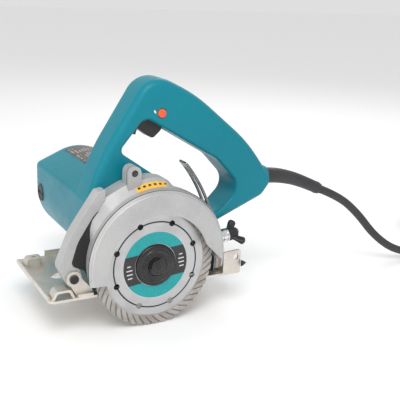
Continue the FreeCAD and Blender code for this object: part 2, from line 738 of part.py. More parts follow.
def make_rear_cover():
    """End cover of the motor: tapered cap with vent slots and a bearing seat."""
    body = new_body("rear_cover", at(0, MOTOR_FAR, 0))
    radius = size("motor_radius")
    loft(body, [
        (0.0, motor_profile(radius)),
        (5.0, motor_profile(radius - 0.8)),
        (size("rear_cover_length"), motor_profile(radius - 5.5)),
    ])
    pocket_y(body, circle_edge(MOTOR_X, MOTOR_Z, 33.0), 0.0, 5.5)
    pad_y(body, circle_edge(MOTOR_X, MOTOR_Z, 14.0), 0.0, 6.5)
    pocket_y(body, circle_edge(MOTOR_X, MOTOR_Z, 9.5), 0.0, 6.0)
    for level in range(4):
        z = 31.0 + 5.0 * level
        slots = box_outline(0.8, z, 4.8, z + 2.4)
        pocket(body, sketch_on(body, "YZ_Plane", slots), 200, both=True)
    for level in range(5):
        z = MOTOR_Z - 13.0 + 6.5 * level - 1.2
        for side in (-1, 1):
            x0, x1 = sorted((MOTOR_X + side * 17.0, MOTOR_X + side * 29.0))
            pocket_y(body, box_outline(x0, z, x1, z + 2.4, 1.1), 4.0, 8.0)
    return body


def make_motor_inside():
    """Stator, brush gear and fan baffle, which stay still in the housing."""
    stator_near = 66.0
    stator_far = stator_near + size("core_length")
    node(ring_y("field_stator", MOTOR_X, MOTOR_Z, stator_near, stator_far,
                size("motor_cavity_radius") - 0.02, size("stator_inner")))
    coils = [ring_y(f"field_coil{index}", MOTOR_X, MOTOR_Z, start, start + 6.0, 34.0, 25.0)
             for index, start in enumerate((stator_near - 6.0, stator_far))]
    node(group("field_coils", coils))
    node(ring_y("fan_baffle", MOTOR_X, MOTOR_Z, 50.0, 52.0, size("motor_cavity_radius") - 0.02, 24.0))
    caps, holders, brushes = [], [], []
    for side in (-1, 1):
        reach = size("motor_radius")
        cap_x = MOTOR_X + side * (reach - 2.5) - 2.5
        caps.append(cylinder(f"brush_cap{side + 1}", at(cap_x, BRUSH_Y, MOTOR_Z), ALONG_X, size("brush_cap_radius"), 5.0))
        holder_inner, holder_outer = sorted((MOTOR_X + side * 17.0, MOTOR_X + side * (reach - 5.0)))
        holders.append(holder(side, holder_inner, holder_outer))
        tip = size("commutator_radius") + 0.3
        start, end = sorted((MOTOR_X + side * tip, MOTOR_X + side * (tip + 15.0)))
        brushes.append(block(f"carbon{side + 1}", at(start, BRUSH_Y - 4.0, MOTOR_Z - 3.0), end - start, 8.0, 6.0))
    node(group("brush_caps", caps))
    node(group("brush_holders", holders))
    node(group("carbon_brushes", brushes))


def holder(side, x0, x1):
    """Rectangular brass tube that guides one carbon brush."""
    outside = block(f"holder_out{side + 1}", at(x0, BRUSH_Y - 6.0, MOTOR_Z - 5.0), x1 - x0, 12.0, 10.0)
    inside = block(f"holder_in{side + 1}", at(x0 - 1, BRUSH_Y - 4.2, MOTOR_Z - 3.2), x1 - x0 + 2, 8.4, 6.4)
    return cut(f"holder{side + 1}", outside, inside)


def make_armature():
    """Shaft with fan, slotted core, windings and commutator, which turn together."""
    near, far = 66.0, 66.0 + size("core_length")
    node(turned_y("armature_shaft", MOTOR_X, MOTOR_Z, [
        (GEARBOX_NEAR + 0.4, GEARBOX_NEAR + 7.2, 4.0),
        (GEARBOX_NEAR + 7.2, GEARBOX_BACK, size("shaft_radius")),
        (GEARBOX_BACK, MOTOR_FAR - 0.4, size("shaft_radius") + 1.0),
        (MOTOR_FAR - 0.4, 169.6, 4.0),
    ]))
    core = new_body("armature_core", at(MOTOR_X, near, MOTOR_Z))
    pad(core, circle_on(core, "XZ_Plane", [(0, 0, "core_radius")]), "sizes.core_length", reverse=True)
    shaft = circle_edge(0, 0, size("shaft_radius") + 1.0)
    pocket(core, sketch_on(core, "XZ_Plane", shaft), 0, through=True)
    slot = box_outline(15.0, -1.3, 23.0, 1.3)
    first_slot = pocket(core, sketch_on(core, "XZ_Plane", slot), 0, through=True)
    ring = core.newObject("PartDesign::PolarPattern", "armature_slots")
    ring.Originals = [first_slot]
    ring.Axis = (core.Origin.OriginFeatures[1], [""])
    ring.Angle = 360
    ring.Occurrences = 12
    core.Tip = ring
    windings = [ring_y(f"winding{index}", MOTOR_X, MOTOR_Z, start, end, 18.5, size("shaft_radius") + 1.0)
                for index, (start, end) in enumerate(((near - 9.0, near), (far, far + 12.0)))]
    node(group("armature_windings", windings))
    commutator_near = BRUSH_Y - size("commutator_length") / 2
    node(ring_y("commutator", MOTOR_X, MOTOR_Z, commutator_near, commutator_near + size("commutator_length"),
                size("commutator_radius"), size("shaft_radius") + 1.0))
    hub = [ring_y("fan_disc", MOTOR_X, MOTOR_Z, 36.0, 38.0, size("fan_radius"), size("shaft_radius") + 1.0),
           ring_y("fan_hub", MOTOR_X, MOTOR_Z, 36.0, 46.0, 10.0, size("shaft_radius") + 1.0)]
    for vane in range(9):
        angle = 40.0 * vane
        turn = Rotation(Vector(0, 1, 0), angle)
        corner = at(MOTOR_X, 38.0, MOTOR_Z) + turn.multVec(Vector(9.5, 0, -0.8))
        hub.append(block(f"fan_vane{vane}", corner, size("fan_radius") - 10.0, 9.0, 1.6, turn))
    node(fuse("cooling_fan", hub))


def make_bearings():
    """Ball bearings as plain rings in their seats."""
    seats = [
        ("spindle", 0, 0, 6.2, 12.2, 14.0, size("spindle_radius")),
        ("spindle_rear", 0, 0, GEARBOX_NEAR + 7.1, GEARBOX_NEAR + 12.4, 9.5, size("spindle_radius")),
        ("armature", MOTOR_X, MOTOR_Z, GEARBOX_NEAR + 7.2, GEARBOX_BACK, 11.0, size("shaft_radius")),
        ("armature_rear", MOTOR_X, MOTOR_Z, MOTOR_FAR, 169.8, 9.5, 4.0),
    ]
    rings = [ring_y(f"{name}_bearing", x, z, start, end, outer, inner + size("running_gap"))
             for name, x, z, start, end, outer, inner in seats]
    return group("ball_bearings", rings)


def make_nameplate():
    """Thin plate that follows the motor's round top."""
    radius = size("motor_radius")
    turn = Rotation(Vector(0, 1, 0), -112) * ALONG_Y
    outside = cylinder("plate_outside", at(MOTOR_X, 104.0, MOTOR_Z), turn, radius + 0.45, 56.0, 46)
    inside = cylinder("plate_inside", at(MOTOR_X, 103.0, MOTOR_Z), turn, radius + 0.02, 58.0)
    return cut("nameplate", outside, inside)


# ---------------------------------------------------------------- handle, trigger and button
HANDLE_OUTER = [
    (30.0, 8.0, 12),
    (70.0, 17.8, 10),
    (120.5, 38.8, 12),
    (131.0, 52.5, 9),
    (102.5, 90.0, 150),
    (49.0, 133.3, 150),
    (7.0, 153.5, 22),
    (-38.0, 82.0, 160),
    (-54.0, 30.0, 12),
]
HAND_OPENING = [
    (-20.5, 89.5, 5),
    (72.0, 25.5, 13),
    (96.0, 50.0, 14),
    (71.0, 76.5, 14),
    (2.0, 116.5, 8),
]
BAR_SLOPE = math.degrees(math.atan2(-40.0, 69.0))
TRIGGER_PUSH = Vector(math.sin(math.radians(-BAR_SLOPE)), 0, math.cos(math.radians(-BAR_SLOPE)))
TRIGGER_STROKE = 5.0
BUTTON_X, BUTTON_Z = 16.0, 119.5
GUARD_Z = 53.5


def handle_cavity():
    """Hollow of a handle half: up the front arm, along the grip and down the rear arm."""
    wall = size("handle_wall")
    outside = offset_corners(HANDLE_OUTER, wall)
    inside = offset_corners(HAND_OPENING, -wall)
    return rounded([
        outside[2],
        outside[3],
        outside[4],
        outside[5],
        outside[6],
        (-29.0, 90.0, 1.5),
        (-25.0, 90.0, 1.5),
        inside[4],
        inside[3],
        (99.5, 53.0, 4),
        (99.5, 41.0, 3),
    ])


def make_handle_half(label, y_near, solid_first):
    """One moulded half of the D-handle; solid_first is true where the outer wall is at the near side."""
    body = new_body(label, at(0, y_near, 0))
    half = size("handle_half")
    wall = size("handle_wall")
    pad(body, sketch_on(body, "XZ_Plane", rounded(HANDLE_OUTER)), "sizes.handle_half", reverse=True)
    pocket_y(body, rounded(HAND_OPENING), 0.0, half + 1)
    face_y = at(0, y_near if solid_first else y_near + half, 0).y
    for loop, cell in ((0, "handle_round"), (1, "opening_round")):
        shaped = body.Tip
        rim = face_loops(body, face_y)[loop]
        fillet = body.newObject("PartDesign::Fillet", f"{label}_{cell}")
        fillet.Base = (shaped, rim)
        fillet.setExpression("Radius", f"sizes.{cell}")
        doc.recompute()
    pocket_y(body, motor_profile(size("motor_radius") + 0.02), 0.0, half + 1)
    pocket_y(body, box_outline(-70.0, 0.0, -40.0, 49.5), 0.0, half + 1)
    cavity_start = wall if solid_first else 0.0
    pocket_y(body, handle_cavity(), cavity_start, half - wall)
    slot_half = size("trigger_width") / 2 + 0.3
    slot_start = half - slot_half if solid_first else 0.0
    pocket_y(body, trigger_slot(), slot_start, slot_half)
    cord_centre = half if solid_first else 0.0
    cord_hole = sketch_on(body, "YZ_Plane", circle_edge(cord_centre, GUARD_Z, 7.6), 112.0)
    pocket(body, cord_hole, 40.0, reverse=True)
    if solid_first:
        pocket_y(body, circle_edge(BUTTON_X, BUTTON_Z, size("button_radius") + 0.3), 0.0, wall + 1)
    return body


def face_loops(body, face_y):
    """Edge names of the flat face at a given Y: its outer loop, then the loops inside it."""
    face = max((face for face in body.Shape.Faces
                if all(abs(vertex.Y - face_y) < 1e-3 for vertex in face.Vertexes)), key=lambda face: face.Area)
    outer, inner = [], []
    for index, edge in enumerate(body.Shape.Edges, 1):
        if any(edge.isSame(other) for other in face.OuterWire.Edges):
            outer.append(f"Edge{index}")
        elif any(edge.isSame(other) for other in face.Edges):
            inner.append(f"Edge{index}")
    return outer, inner


def trigger_slot():
    """Way through the grip's underside for the trigger and its travel."""
    return rounded([
        (-13.5, 101.0, 0),
        (26.0, 98.0, 0),
        (26.0, 114.0, 3),
        (4.0, 127.0, 3),
        (-13.5, 112.0, 0),
    ])


def make_trigger():
    """Finger lever with a stepped front, which slides up into the grip."""
    outline = rounded([
        (-9.6, 103.6, 1.5),
        (-4.5, 103.6, 1.5),
        (-1.2, 106.2, 1.5),
        (12.2, 96.8, 3.5),
        (19.6, 103.6, 2.5),
        (22.0, 110.0, 2),
        (6.0, 118.6, 3),
        (-3.5, 112.5, 3),
    ])
    width = size("trigger_width")
    body = new_body("trigger", at(0, HANDLE_SPLIT - width / 2, 0))
    pad(body, sketch_on(body, "XZ_Plane", outline), "sizes.trigger_width", reverse=True)
    return body


def make_switch():
    """Switch block above the trigger, clear of its travel."""
    turn = Rotation(Vector(0, 1, 0), -BAR_SLOPE)
    return block("switch_body", at(24.0, HANDLE_SPLIT - 9.0, 116.5), 34.0, 18.0, 14.0, turn)


def make_button():
    """Round lock button in the near wall."""
    near = HANDLE_NEAR - 1.0
    return cylinder("lock_button", at(BUTTON_X, near, BUTTON_Z), ALONG_Y, "sizes.button_radius", 6.2)


def make_clamp():
    """Depth clamp: bolt through the guide's slot, sleeve and wing nut."""
    axis = Rotation(Vector(0, 1, 0), 90 - CLAMP_TILT)
    y = GUIDE_NEAR + size("guide_width") / 2

    def along(reach):
        x, z = polar(PIVOT_X, PIVOT_Z, reach, CLAMP_TILT)
        return at(x, y, z)

    guide_outer = size("guide_radius") + size("guide_thick")
    node(cylinder("clamp_bolt", along(LUG_REACH), axis, "sizes.clamp_bolt_radius", 29.0))
    sleeve_out = cylinder("sleeve_outside", along(guide_outer + 0.3), axis, 6.0, SLEEVE_LENGTH)
    sleeve_in = cylinder("sleeve_inside", along(guide_outer - 1), axis, size("clamp_bolt_radius"), 18.0)
    node(cut("clamp_sleeve", sleeve_out, sleeve_in))
    nut_start = guide_outer + SLEEVE_LENGTH + 0.6
    solids = [cone("nut_hub", along(nut_start), axis, 6.0, 4.6, 9.0)]
    for side in (-1, 1):
        flare = axis * Rotation(Vector(0, 0, 1), WING_ANGLE) * Rotation(Vector(0, 1, 0), side * WING_FLARE)
        solids.append(cylinder(f"wing{side + 1}", along(nut_start + 4.5), flare, 3.2, 14.5))
    bore = cylinder("nut_bore", along(nut_start - 1), axis, "sizes.clamp_bolt_radius + sizes.running_gap", 12.0)
    node(cut("wing_nut", fuse("wing_solid", solids), bore))


LUG_REACH = 127.5
SLEEVE_LENGTH = 14.0
WING_ANGLE = -58.0
WING_FLARE = 53.0


# ---------------------------------------------------------------- fasteners, gasket and small pieces
HANDLE_SCREWS = [(48.0, 27.0), (110.0, 53.0), (5.0, 134.0), (-29.0, 74.0)]
COVER_SCREWS = [(MOTOR_X - 21.2, MOTOR_Z - 21.2), (MOTOR_X + 21.2, MOTOR_Z - 21.2),
                (MOTOR_X + 21.2, MOTOR_Z + 21.2), (MOTOR_X - 21.2, MOTOR_Z + 21.2)]


def screw_heads(name, places, radius, depth):
    """Group of equal screw heads along Y, which start at (x, y, z) places."""
    heads = [cylinder(f"{name}_{index}", at(x, y, z), ALONG_Y, radius, depth)
             for index, (x, y, z) in enumerate(places)]
    return group(name, heads)


def make_gasket():
    """Thin black gasket between the gear housing and the moulded parts."""
    body = new_body("gasket", at(0, GEARBOX_BACK, 0))
    pad(body, sketch_on(body, "XZ_Plane", rounded(offset_corners(FLANGE, 1.0))), "sizes.gasket_thick", reverse=True)
    pocket_y(body, circle_edge(MOTOR_X, MOTOR_Z, 12.0), 0.0, 1.0)
    return body


# ---------------------------------------------------------------- mains cord
EXIT = (194.2, -9.5, 56.2)
FLOOR_Z = size("arbor_height") - size("blade_radius")
LYING_Z = FLOOR_Z + size("cord_radius")
COIL_CENTRE = (436.0, 34.0)
COIL_MEAN = (size("coil_outer") + size("coil_inner")) / 2
COIL_LANE = size("coil_outer") - size("cord_radius")
CORD_ROUTE = [
    EXIT,
    (221.0, -9.8, 45.5),
    (247.0, -10.8, 25.0),
    (271.0, -13.0, -2.0),
    (300.0, -17.0, -21.5),
    (338.0, -21.5, LYING_Z),
    (384.0, -21.0, LYING_Z),
    (436.0, 34.0 - COIL_LANE, LYING_Z),
]


def cord_path(points):
    """Straight runs joined by tangent arcs, each as large as its two runs allow."""
    corners = [Vector(*point) for point in points]
    edges = []
    radii = []
    start = corners[0]
    for before, here, after in zip(corners, corners[1:], corners[2:]):
        back = before - here
        ahead = after - here
        turn = math.pi - back.getAngle(ahead)
        reach = 0.45 * min(back.Length, ahead.Length)
        radius = reach / math.tan(turn / 2)
        radii.append(radius)
        back.normalize()
        ahead.normalize()
        first = here + back * reach
        last = here + ahead * reach
        middle = here + (back + ahead).normalize() * (radius / math.cos(turn / 2) - radius)
        edges.append(Part.LineSegment(start, first).toShape())
        edges.append(Part.Arc(first, middle, last).toShape())
        start = last
    edges.append(Part.LineSegment(start, corners[-1]).toShape())
    print("cord radii, mm:", [round(radius) for radius in radii])
    return Part.Wire(edges)


def make_cord():
    """Tube of the part of the cord that is not coiled."""
    path = cord_path(CORD_ROUTE)
    start = Vector(*CORD_ROUTE[0])
    direction = Vector(*CORD_ROUTE[1]) - start
    section = Part.Wire(Part.makeCircle(size("cord_radius"), start, direction))
    tube = path.makePipeShell([section], True, False)
    expected = math.pi * size("cord_radius") ** 2 * path.Length
    print("cord length, mm:", round(path.Length), "volume ratio:", round(tube.Volume / expected, 4))
    cord = doc.addObject("Part::Feature", "power_cord")
    cord.Shape = tube
    return node(cord)


def make_coil():
    """Closed ring of the coiled length, its tie and the plug beside it."""
    x, y = COIL_CENTRE
    place = Vector(x, y, FLOOR_Z)
    outside = cylinder("coil_outside", place, Rotation(), "sizes.coil_outer", "sizes.coil_height")
    inside = cylinder("coil_inside", place - Vector(0, 0, 1), Rotation(), "sizes.coil_inner", "sizes.coil_height + 2")
    node(cut("cord_coil", outside, inside))
    tie_width = 9.0
    band = size("coil_outer") - size("coil_inner") + 2.4
    outer = block("tie_outside", Vector(x - tie_width / 2, y + size("coil_inner") - 1.2, FLOOR_Z),
                  tie_width, band, "sizes.coil_height + 1.2")
    inner = block("tie_inside", Vector(x - tie_width / 2 - 1, y + size("coil_inner") - 0.1, FLOOR_Z + 1),
                  tie_width + 2, band - 2.2, "sizes.coil_height - 0.9")
    node(cut("cord_tie", outer, inner))


PLUG_LENGTH = 38.0


def make_plug():
    """Moulded plug lying beside the coil, with two flat blades and a round earth pin."""
    x, y = COIL_CENTRE
    body = new_body("plug_body", Vector(x + 22.0, y - COIL_LANE - 8.0, LYING_Z + 9.0))
    loft_sections = [(0.0, 5.0, 5.0, 2.0), (14.0, 9.0, 9.5, 3.0), (30.0, 13.0, 13.0, 4.0), (PLUG_LENGTH, 13.0, 13.0, 4.0)]
    sketches = []
    for start, half_width, half_height, radius in loft_sections:
        edges = box_outline(-half_width, -half_height, half_width, half_height, radius)
        sketches.append(sketch_on(body, "YZ_Plane", edges, start))
    feature = body.newObject("PartDesign::AdditiveLoft", "plug_loft")
    feature.Profile = sketches[0]
    feature.Sections = sketches[1:]
    feature.Ruled = True
    tip = body.Placement.Base + Vector(PLUG_LENGTH, 0, 0)
    blades = [block(f"plug_blade{side + 1}", tip + Vector(0, side * 6.35 - 0.75, -3.2), 17.5, 1.5, 6.4)
              for side in (-1, 1)]
    earth = cylinder("plug_earth", tip + Vector(0, 0, -8.3), ALONG_X, 2.4, 20.0)
    node(group("plug_pins", blades + [earth]))
    return body


def make_cord_guard():
    """Tapered rubber guard, from a neck inside the handle to the cord's exit."""
    body = new_body("cord_guard", at(0, HANDLE_SPLIT, 0))
    neck = sketch_on(body, "YZ_Plane", circle_edge(0, GUARD_Z, 7.4), 118.0)
    pad(body, neck, 12.0)
    sections = [(130.0, GUARD_Z, 7.4), (152.0, 50.6, 6.9), (173.0, 44.4, 6.3), (192.5, 35.5, 5.6)]
    sketches = [sketch_on(body, "YZ_Plane", circle_edge(0, z, radius), x) for x, z, radius in sections]
    feature = body.newObject("PartDesign::AdditiveLoft", "guard_loft")
    feature.Profile = sketches[0]
    feature.Sections = sketches[1:]
    feature.Ruled = True
    return body


def make_cord_clamp():
    """Clamp bar that grips the cord inside the rear arm."""
    return block("cord_clamp", at(106.0, HANDLE_SPLIT - 9.0, 50.0), 8.0, 18.0, 5.0)


# ---------------------------------------------------------------- build everything
make_base_plate()
make_pivot_bracket()
node(make_pivot_pin())
node(make_depth_guide())
make_guide_bracket()
node(make_guide_spacer())
node(make_base_fasteners())

make_blade()
make_spindle_set()
make_gear("drive_gear", 0, 0, SPINDLE_TEETH, 0.0, size("spindle_radius") + 0.01)
make_gear("pinion", MOTOR_X, MOTOR_Z, PINION_TEETH, meshing_phase(), 4.01)

make_blade_case()
make_gearbox()
make_inner_guard()
make_motor_housing()
make_rear_cover()
make_motor_inside()
make_armature()
node(make_bearings())
node(make_nameplate())

make_handle_half("handle_near", HANDLE_NEAR, True)
make_handle_half("handle_far", HANDLE_SPLIT, False)
make_trigger()
node(make_switch())
node(make_button())
make_clamp()
make_gasket()
node(screw_heads("case_screws", [(x, y - 1.8, z) for x, z, y in CASE_SCREWS], 3.6, 1.8))
node(screw_heads("handle_screws", [(x, HANDLE_FAR, z) for x, z in HANDLE_SCREWS], 3.4, 1.0))
node(screw_heads("cover_screws", [(x, MOTOR_FAR + size("rear_cover_length"), z) for x, z in COVER_SCREWS], 3.0, 1.2))

make_cord_guard()
node(make_cord_clamp())
make_cord()
make_coil()
make_plug()

doc.recompute()
failed = [thing.Name for thing in doc.Objects if "Invalid" in thing.State or "Error" in thing.State]
if failed:
    raise ValueError(f"not built: {failed}")
for part in nodes:
    if part.Shape.isNull() or not part.Shape.isValid():
        raise ValueError(f"{part.Label} has no valid shape")
    part.Shape.exportStep(f"parts/{part.Label}.step")
print(len(nodes), "sub-parts written")
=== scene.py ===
"""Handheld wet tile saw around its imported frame: camera, materials, cord, visible pieces, floor and light."""

import json
import math

import bmesh
import bpy
from mathutils import Matrix, Vector

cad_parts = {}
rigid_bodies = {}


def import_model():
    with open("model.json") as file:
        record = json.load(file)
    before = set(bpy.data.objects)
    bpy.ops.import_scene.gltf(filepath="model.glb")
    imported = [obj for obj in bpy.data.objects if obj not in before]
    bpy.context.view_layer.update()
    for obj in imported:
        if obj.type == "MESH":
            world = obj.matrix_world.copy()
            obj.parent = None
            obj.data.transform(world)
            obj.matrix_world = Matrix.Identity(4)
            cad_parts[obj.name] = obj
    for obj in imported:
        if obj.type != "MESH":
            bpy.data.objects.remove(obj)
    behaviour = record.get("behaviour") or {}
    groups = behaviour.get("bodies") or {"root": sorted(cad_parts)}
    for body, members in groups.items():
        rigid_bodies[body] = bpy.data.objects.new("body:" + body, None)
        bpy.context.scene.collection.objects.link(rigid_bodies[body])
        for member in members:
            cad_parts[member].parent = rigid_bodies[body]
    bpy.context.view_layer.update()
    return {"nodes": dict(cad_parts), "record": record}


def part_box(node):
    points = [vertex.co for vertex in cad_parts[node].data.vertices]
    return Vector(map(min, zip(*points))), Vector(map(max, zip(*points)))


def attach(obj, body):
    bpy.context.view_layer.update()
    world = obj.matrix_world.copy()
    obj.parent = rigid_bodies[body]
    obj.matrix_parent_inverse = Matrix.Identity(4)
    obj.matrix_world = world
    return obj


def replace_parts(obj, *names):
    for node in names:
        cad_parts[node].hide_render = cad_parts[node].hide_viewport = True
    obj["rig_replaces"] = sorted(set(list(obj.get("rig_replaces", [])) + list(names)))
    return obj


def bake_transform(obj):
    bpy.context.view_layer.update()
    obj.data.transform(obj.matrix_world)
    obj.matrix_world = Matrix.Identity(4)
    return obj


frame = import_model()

scene = bpy.context.scene
scene.view_settings.view_transform = "Standard"
MM = 0.001
FLOOR_Z = -31.0 * MM
ARBOR_Y, ARBOR_Z = -53.0, 21.5
HANDLE_Y = 43.5
HOLE_CIRCLE = 36.8 * MM


def at(x, y, z):
    """Frame point in metres of a point in millimetres measured from the blade's centre."""
    return Vector((x * MM, (y + ARBOR_Y) * MM, (z + ARBOR_Z) * MM))


# ------------------------------------------------------------------ camera
camera_data = bpy.data.cameras.new("camera")
camera_data.lens = 66.96
camera_data.sensor_width = 36.0
camera = bpy.data.objects.new("camera", camera_data)
scene.collection.objects.link(camera)
camera.matrix_world = Matrix((
    (0.8791, 0.1011, -0.4657, -0.24617),
    (-0.4750, 0.2659, -0.8389, -0.56767),
    (0.0390, 0.9587, 0.2818, 0.24525),
    (0, 0, 0, 1),
))
scene.camera = camera


# ------------------------------------------------------------------ node helpers
def new_material(name):
    """Empty node material with its shader: (material, nodes, links, shader)."""
    material = bpy.data.materials.new(name)
    material.use_nodes = True
    nodes, links = material.node_tree.nodes, material.node_tree.links
    nodes.clear()
    output = nodes.new("ShaderNodeOutputMaterial")
    shader = nodes.new("ShaderNodeBsdfPrincipled")
    links.new(shader.outputs[0], output.inputs[0])
    return material, nodes, links, shader


def noise(nodes, links, vector, scale, detail=3.0, rough=0.5):
    """Noise texture on a vector, with scale in cells per metre."""
    texture = nodes.new("ShaderNodeTexNoise")
    texture.inputs["Scale"].default_value = scale
    texture.inputs["Detail"].default_value = detail
    texture.inputs["Roughness"].default_value = rough
    links.new(vector, texture.inputs["Vector"])
    return texture.outputs["Fac"]


def ramp(nodes, links, value, low, high, out_low=0.0, out_high=1.0):
    """Value mapped from one range to another and clamped."""
    mapped = nodes.new("ShaderNodeMapRange")
    mapped.inputs["From Min"].default_value = low
    mapped.inputs["From Max"].default_value = high
    mapped.inputs["To Min"].default_value = out_low
    mapped.inputs["To Max"].default_value = out_high
    links.new(value, mapped.inputs["Value"])
    return mapped.outputs["Result"]


def math_node(nodes, links, operation, first, second=None):
    """One maths node whose inputs are sockets or numbers."""
    node = nodes.new("ShaderNodeMath")
    node.operation = operation
    for index, value in enumerate((first, second)):
        if value is None:
            continue
        if isinstance(value, (int, float)):
            node.inputs[index].default_value = value
        else:
            links.new(value, node.inputs[index])
    return node.outputs[0]


def mix(nodes, links, factor, first, second):
    """Colour mix: the colours are sockets or tuples."""
    node = nodes.new("ShaderNodeMix")
    node.data_type = "RGBA"
    links.new(factor, node.inputs["Factor"])
    for socket, value in ((node.inputs["A"], first), (node.inputs["B"], second)):
        if isinstance(value, tuple):
            socket.default_value = (*value, 1.0)
        else:
            links.new(value, socket)
    return node.outputs["Result"]


def bump(nodes, links, height, distance, strength=1.0, normal=None):
    """Bump node whose depth is in metres."""
    node = nodes.new("ShaderNodeBump")
    node.inputs["Strength"].default_value = strength
    node.inputs["Distance"].default_value = distance
    links.new(height, node.inputs["Height"])
    if normal is not None:
        links.new(normal, node.inputs["Normal"])
    return node.outputs["Normal"]


def object_vector(nodes):
    """Object coordinates, which are the frame's metres."""
    return nodes.new("ShaderNodeTexCoord").outputs["Object"]


def surface(name, base, dark, light, rough, metallic, grain, depth,
            wear=0.0, mottle=25.0, shine=0.5, stretch=None):
    """General material: mottled colour, paler edges that are partly wear and partly a painted edge highlight,
    uneven roughness and a fine grain.

    base, dark and light are linear colours, rough is (low, high), grain is cells per metre, depth in metres.
    """
    material, nodes, links, shader = new_material(name)
    vector = object_vector(nodes)
    if stretch is not None:
        scaled = nodes.new("ShaderNodeMapping")
        scaled.inputs["Scale"].default_value = stretch
        links.new(vector, scaled.inputs["Vector"])
        grain_vector = scaled.outputs["Vector"]
    else:
        grain_vector = vector
    cloudy = noise(nodes, links, vector, mottle, 4.0, 0.6)
    colour = mix(nodes, links, ramp(nodes, links, cloudy, 0.35, 0.65, 0.0, 1.0), dark, base)
    specks = noise(nodes, links, grain_vector, grain, 2.0)
    colour = mix(nodes, links, ramp(nodes, links, specks, 0.55, 0.85, 0.0, 0.5), colour, light)
    # Paler edges from a bevel mask: partly edge wear, partly a painted highlight along every edge.
    if wear > 0:
        rounded = nodes.new("ShaderNodeBevel")
        rounded.samples = 4
        rounded.inputs["Radius"].default_value = 0.7 * MM
        turn = nodes.new("ShaderNodeVectorMath")
        turn.operation = "DOT_PRODUCT"
        links.new(rounded.outputs[0], turn.inputs[0])
        links.new(nodes.new("ShaderNodeNewGeometry").outputs["Normal"], turn.inputs[1])
        edge = ramp(nodes, links, turn.outputs["Value"], 0.995, 0.93, 0.0, wear)
        broken = math_node(nodes, links, "MULTIPLY", edge, ramp(nodes, links, cloudy, 0.3, 0.6, 0.3, 1.0))
        colour = mix(nodes, links, broken, colour, light)
    links.new(colour, shader.inputs["Base Color"])
    smudge = noise(nodes, links, vector, mottle * 3.0, 5.0, 0.65)
    links.new(ramp(nodes, links, smudge, 0.3, 0.7, rough[0], rough[1]), shader.inputs["Roughness"])
    shader.inputs["Metallic"].default_value = metallic
    shader.inputs["Specular IOR Level"].default_value = shine
    links.new(bump(nodes, links, specks, depth, 0.6), shader.inputs["Normal"])
    return material


# wear= sets how strongly edges are painted paler, as edge wear and painted edge highlight together.
TEAL = surface("teal_moulding", (0.003, 0.208, 0.27), (0.003, 0.185, 0.243), (0.045, 0.32, 0.39),
               (0.30, 0.42), 0.0, 2600.0, 0.00003, wear=0.35, mottle=14.0, shine=0.22)
CAST = surface("cast_aluminium", (0.47, 0.47, 0.465), (0.40, 0.40, 0.40), (0.68, 0.68, 0.68),
               (0.40, 0.54), 0.2, 1500.0, 0.00005, wear=0.5, mottle=30.0)
PLATED = surface("plated_steel", (0.74, 0.69, 0.62), (0.60, 0.56, 0.51), (0.90, 0.88, 0.84),
                 (0.34, 0.50), 0.85, 900.0, 0.00002, wear=0.3, mottle=45.0, stretch=(0.25, 1.0, 1.0))
CHROME = surface("polished_steel", (0.80, 0.80, 0.80), (0.72, 0.72, 0.73), (0.95, 0.95, 0.95),
                 (0.06, 0.16), 1.0, 1400.0, 0.000008, mottle=60.0, stretch=(1.0, 0.15, 1.0))
BLACK = surface("black_plastic", (0.018, 0.018, 0.019), (0.012, 0.012, 0.013), (0.09, 0.09, 0.09),
                (0.34, 0.5), 0.0, 2200.0, 0.00005, wear=0.25, mottle=30.0)
RUBBER = surface("rubber_black", (0.030, 0.031, 0.034), (0.022, 0.022, 0.025), (0.10, 0.10, 0.105),
                 (0.42, 0.6), 0.0, 1800.0, 0.00006, wear=0.2, mottle=30.0)
WHITE = surface("print_white", (0.85, 0.85, 0.85), (0.75, 0.75, 0.75), (0.9, 0.9, 0.9),
                (0.5, 0.6), 0.0, 1500.0, 0.00001, shine=0.3)
GUIDE_STEEL = surface("guide_steel", (0.20, 0.20, 0.205), (0.12, 0.12, 0.125), (0.70, 0.70, 0.70),
                      (0.16, 0.28), 1.0, 1400.0, 0.000008, wear=0.9, mottle=60.0)
# Dark grey that paints the shadow inside the case's groove; it is not the casting's own colour.
GROOVE_SHADOW = surface("cast_groove_shadow", (0.10, 0.10, 0.10), (0.07, 0.07, 0.07), (0.2, 0.2, 0.2),
                 (0.6, 0.8), 0.0, 1500.0, 0.00005, mottle=30.0, shine=0.1)
DARK_STEEL = surface("dark_steel", (0.050, 0.050, 0.052), (0.030, 0.030, 0.032), (0.22, 0.22, 0.22),
                     (0.28, 0.42), 0.8, 1600.0, 0.00003, wear=0.5, mottle=50.0)
COPPER = surface("copper", (0.50, 0.17, 0.06), (0.36, 0.11, 0.04), (0.75, 0.36, 0.16),
                 (0.25, 0.4), 0.9, 700.0, 0.00012, mottle=60.0, stretch=(1.0, 0.1, 1.0))
BRASS = surface("brass", (0.55, 0.38, 0.12), (0.42, 0.28, 0.09), (0.80, 0.62, 0.28),
                (0.2, 0.36), 1.0, 1200.0, 0.00002, wear=0.3, mottle=50.0)
LAMINATED = surface("electrical_steel", (0.10, 0.10, 0.11), (0.06, 0.06, 0.07), (0.26, 0.26, 0.28),
                    (0.35, 0.5), 0.8, 2000.0, 0.00012, mottle=40.0, stretch=(0.02, 1.0, 0.02))
CARBON = surface("carbon", (0.022, 0.022, 0.022), (0.014, 0.014, 0.014), (0.08, 0.08, 0.08),
                 (0.5, 0.7), 0.1, 2500.0, 0.00006, mottle=40.0)
ORANGE = surface("button_red", (0.80, 0.105, 0.030), (0.70, 0.080, 0.022), (0.95, 0.32, 0.18),
                 (0.25, 0.36), 0.0, 2500.0, 0.00003, wear=0.3, mottle=60.0)

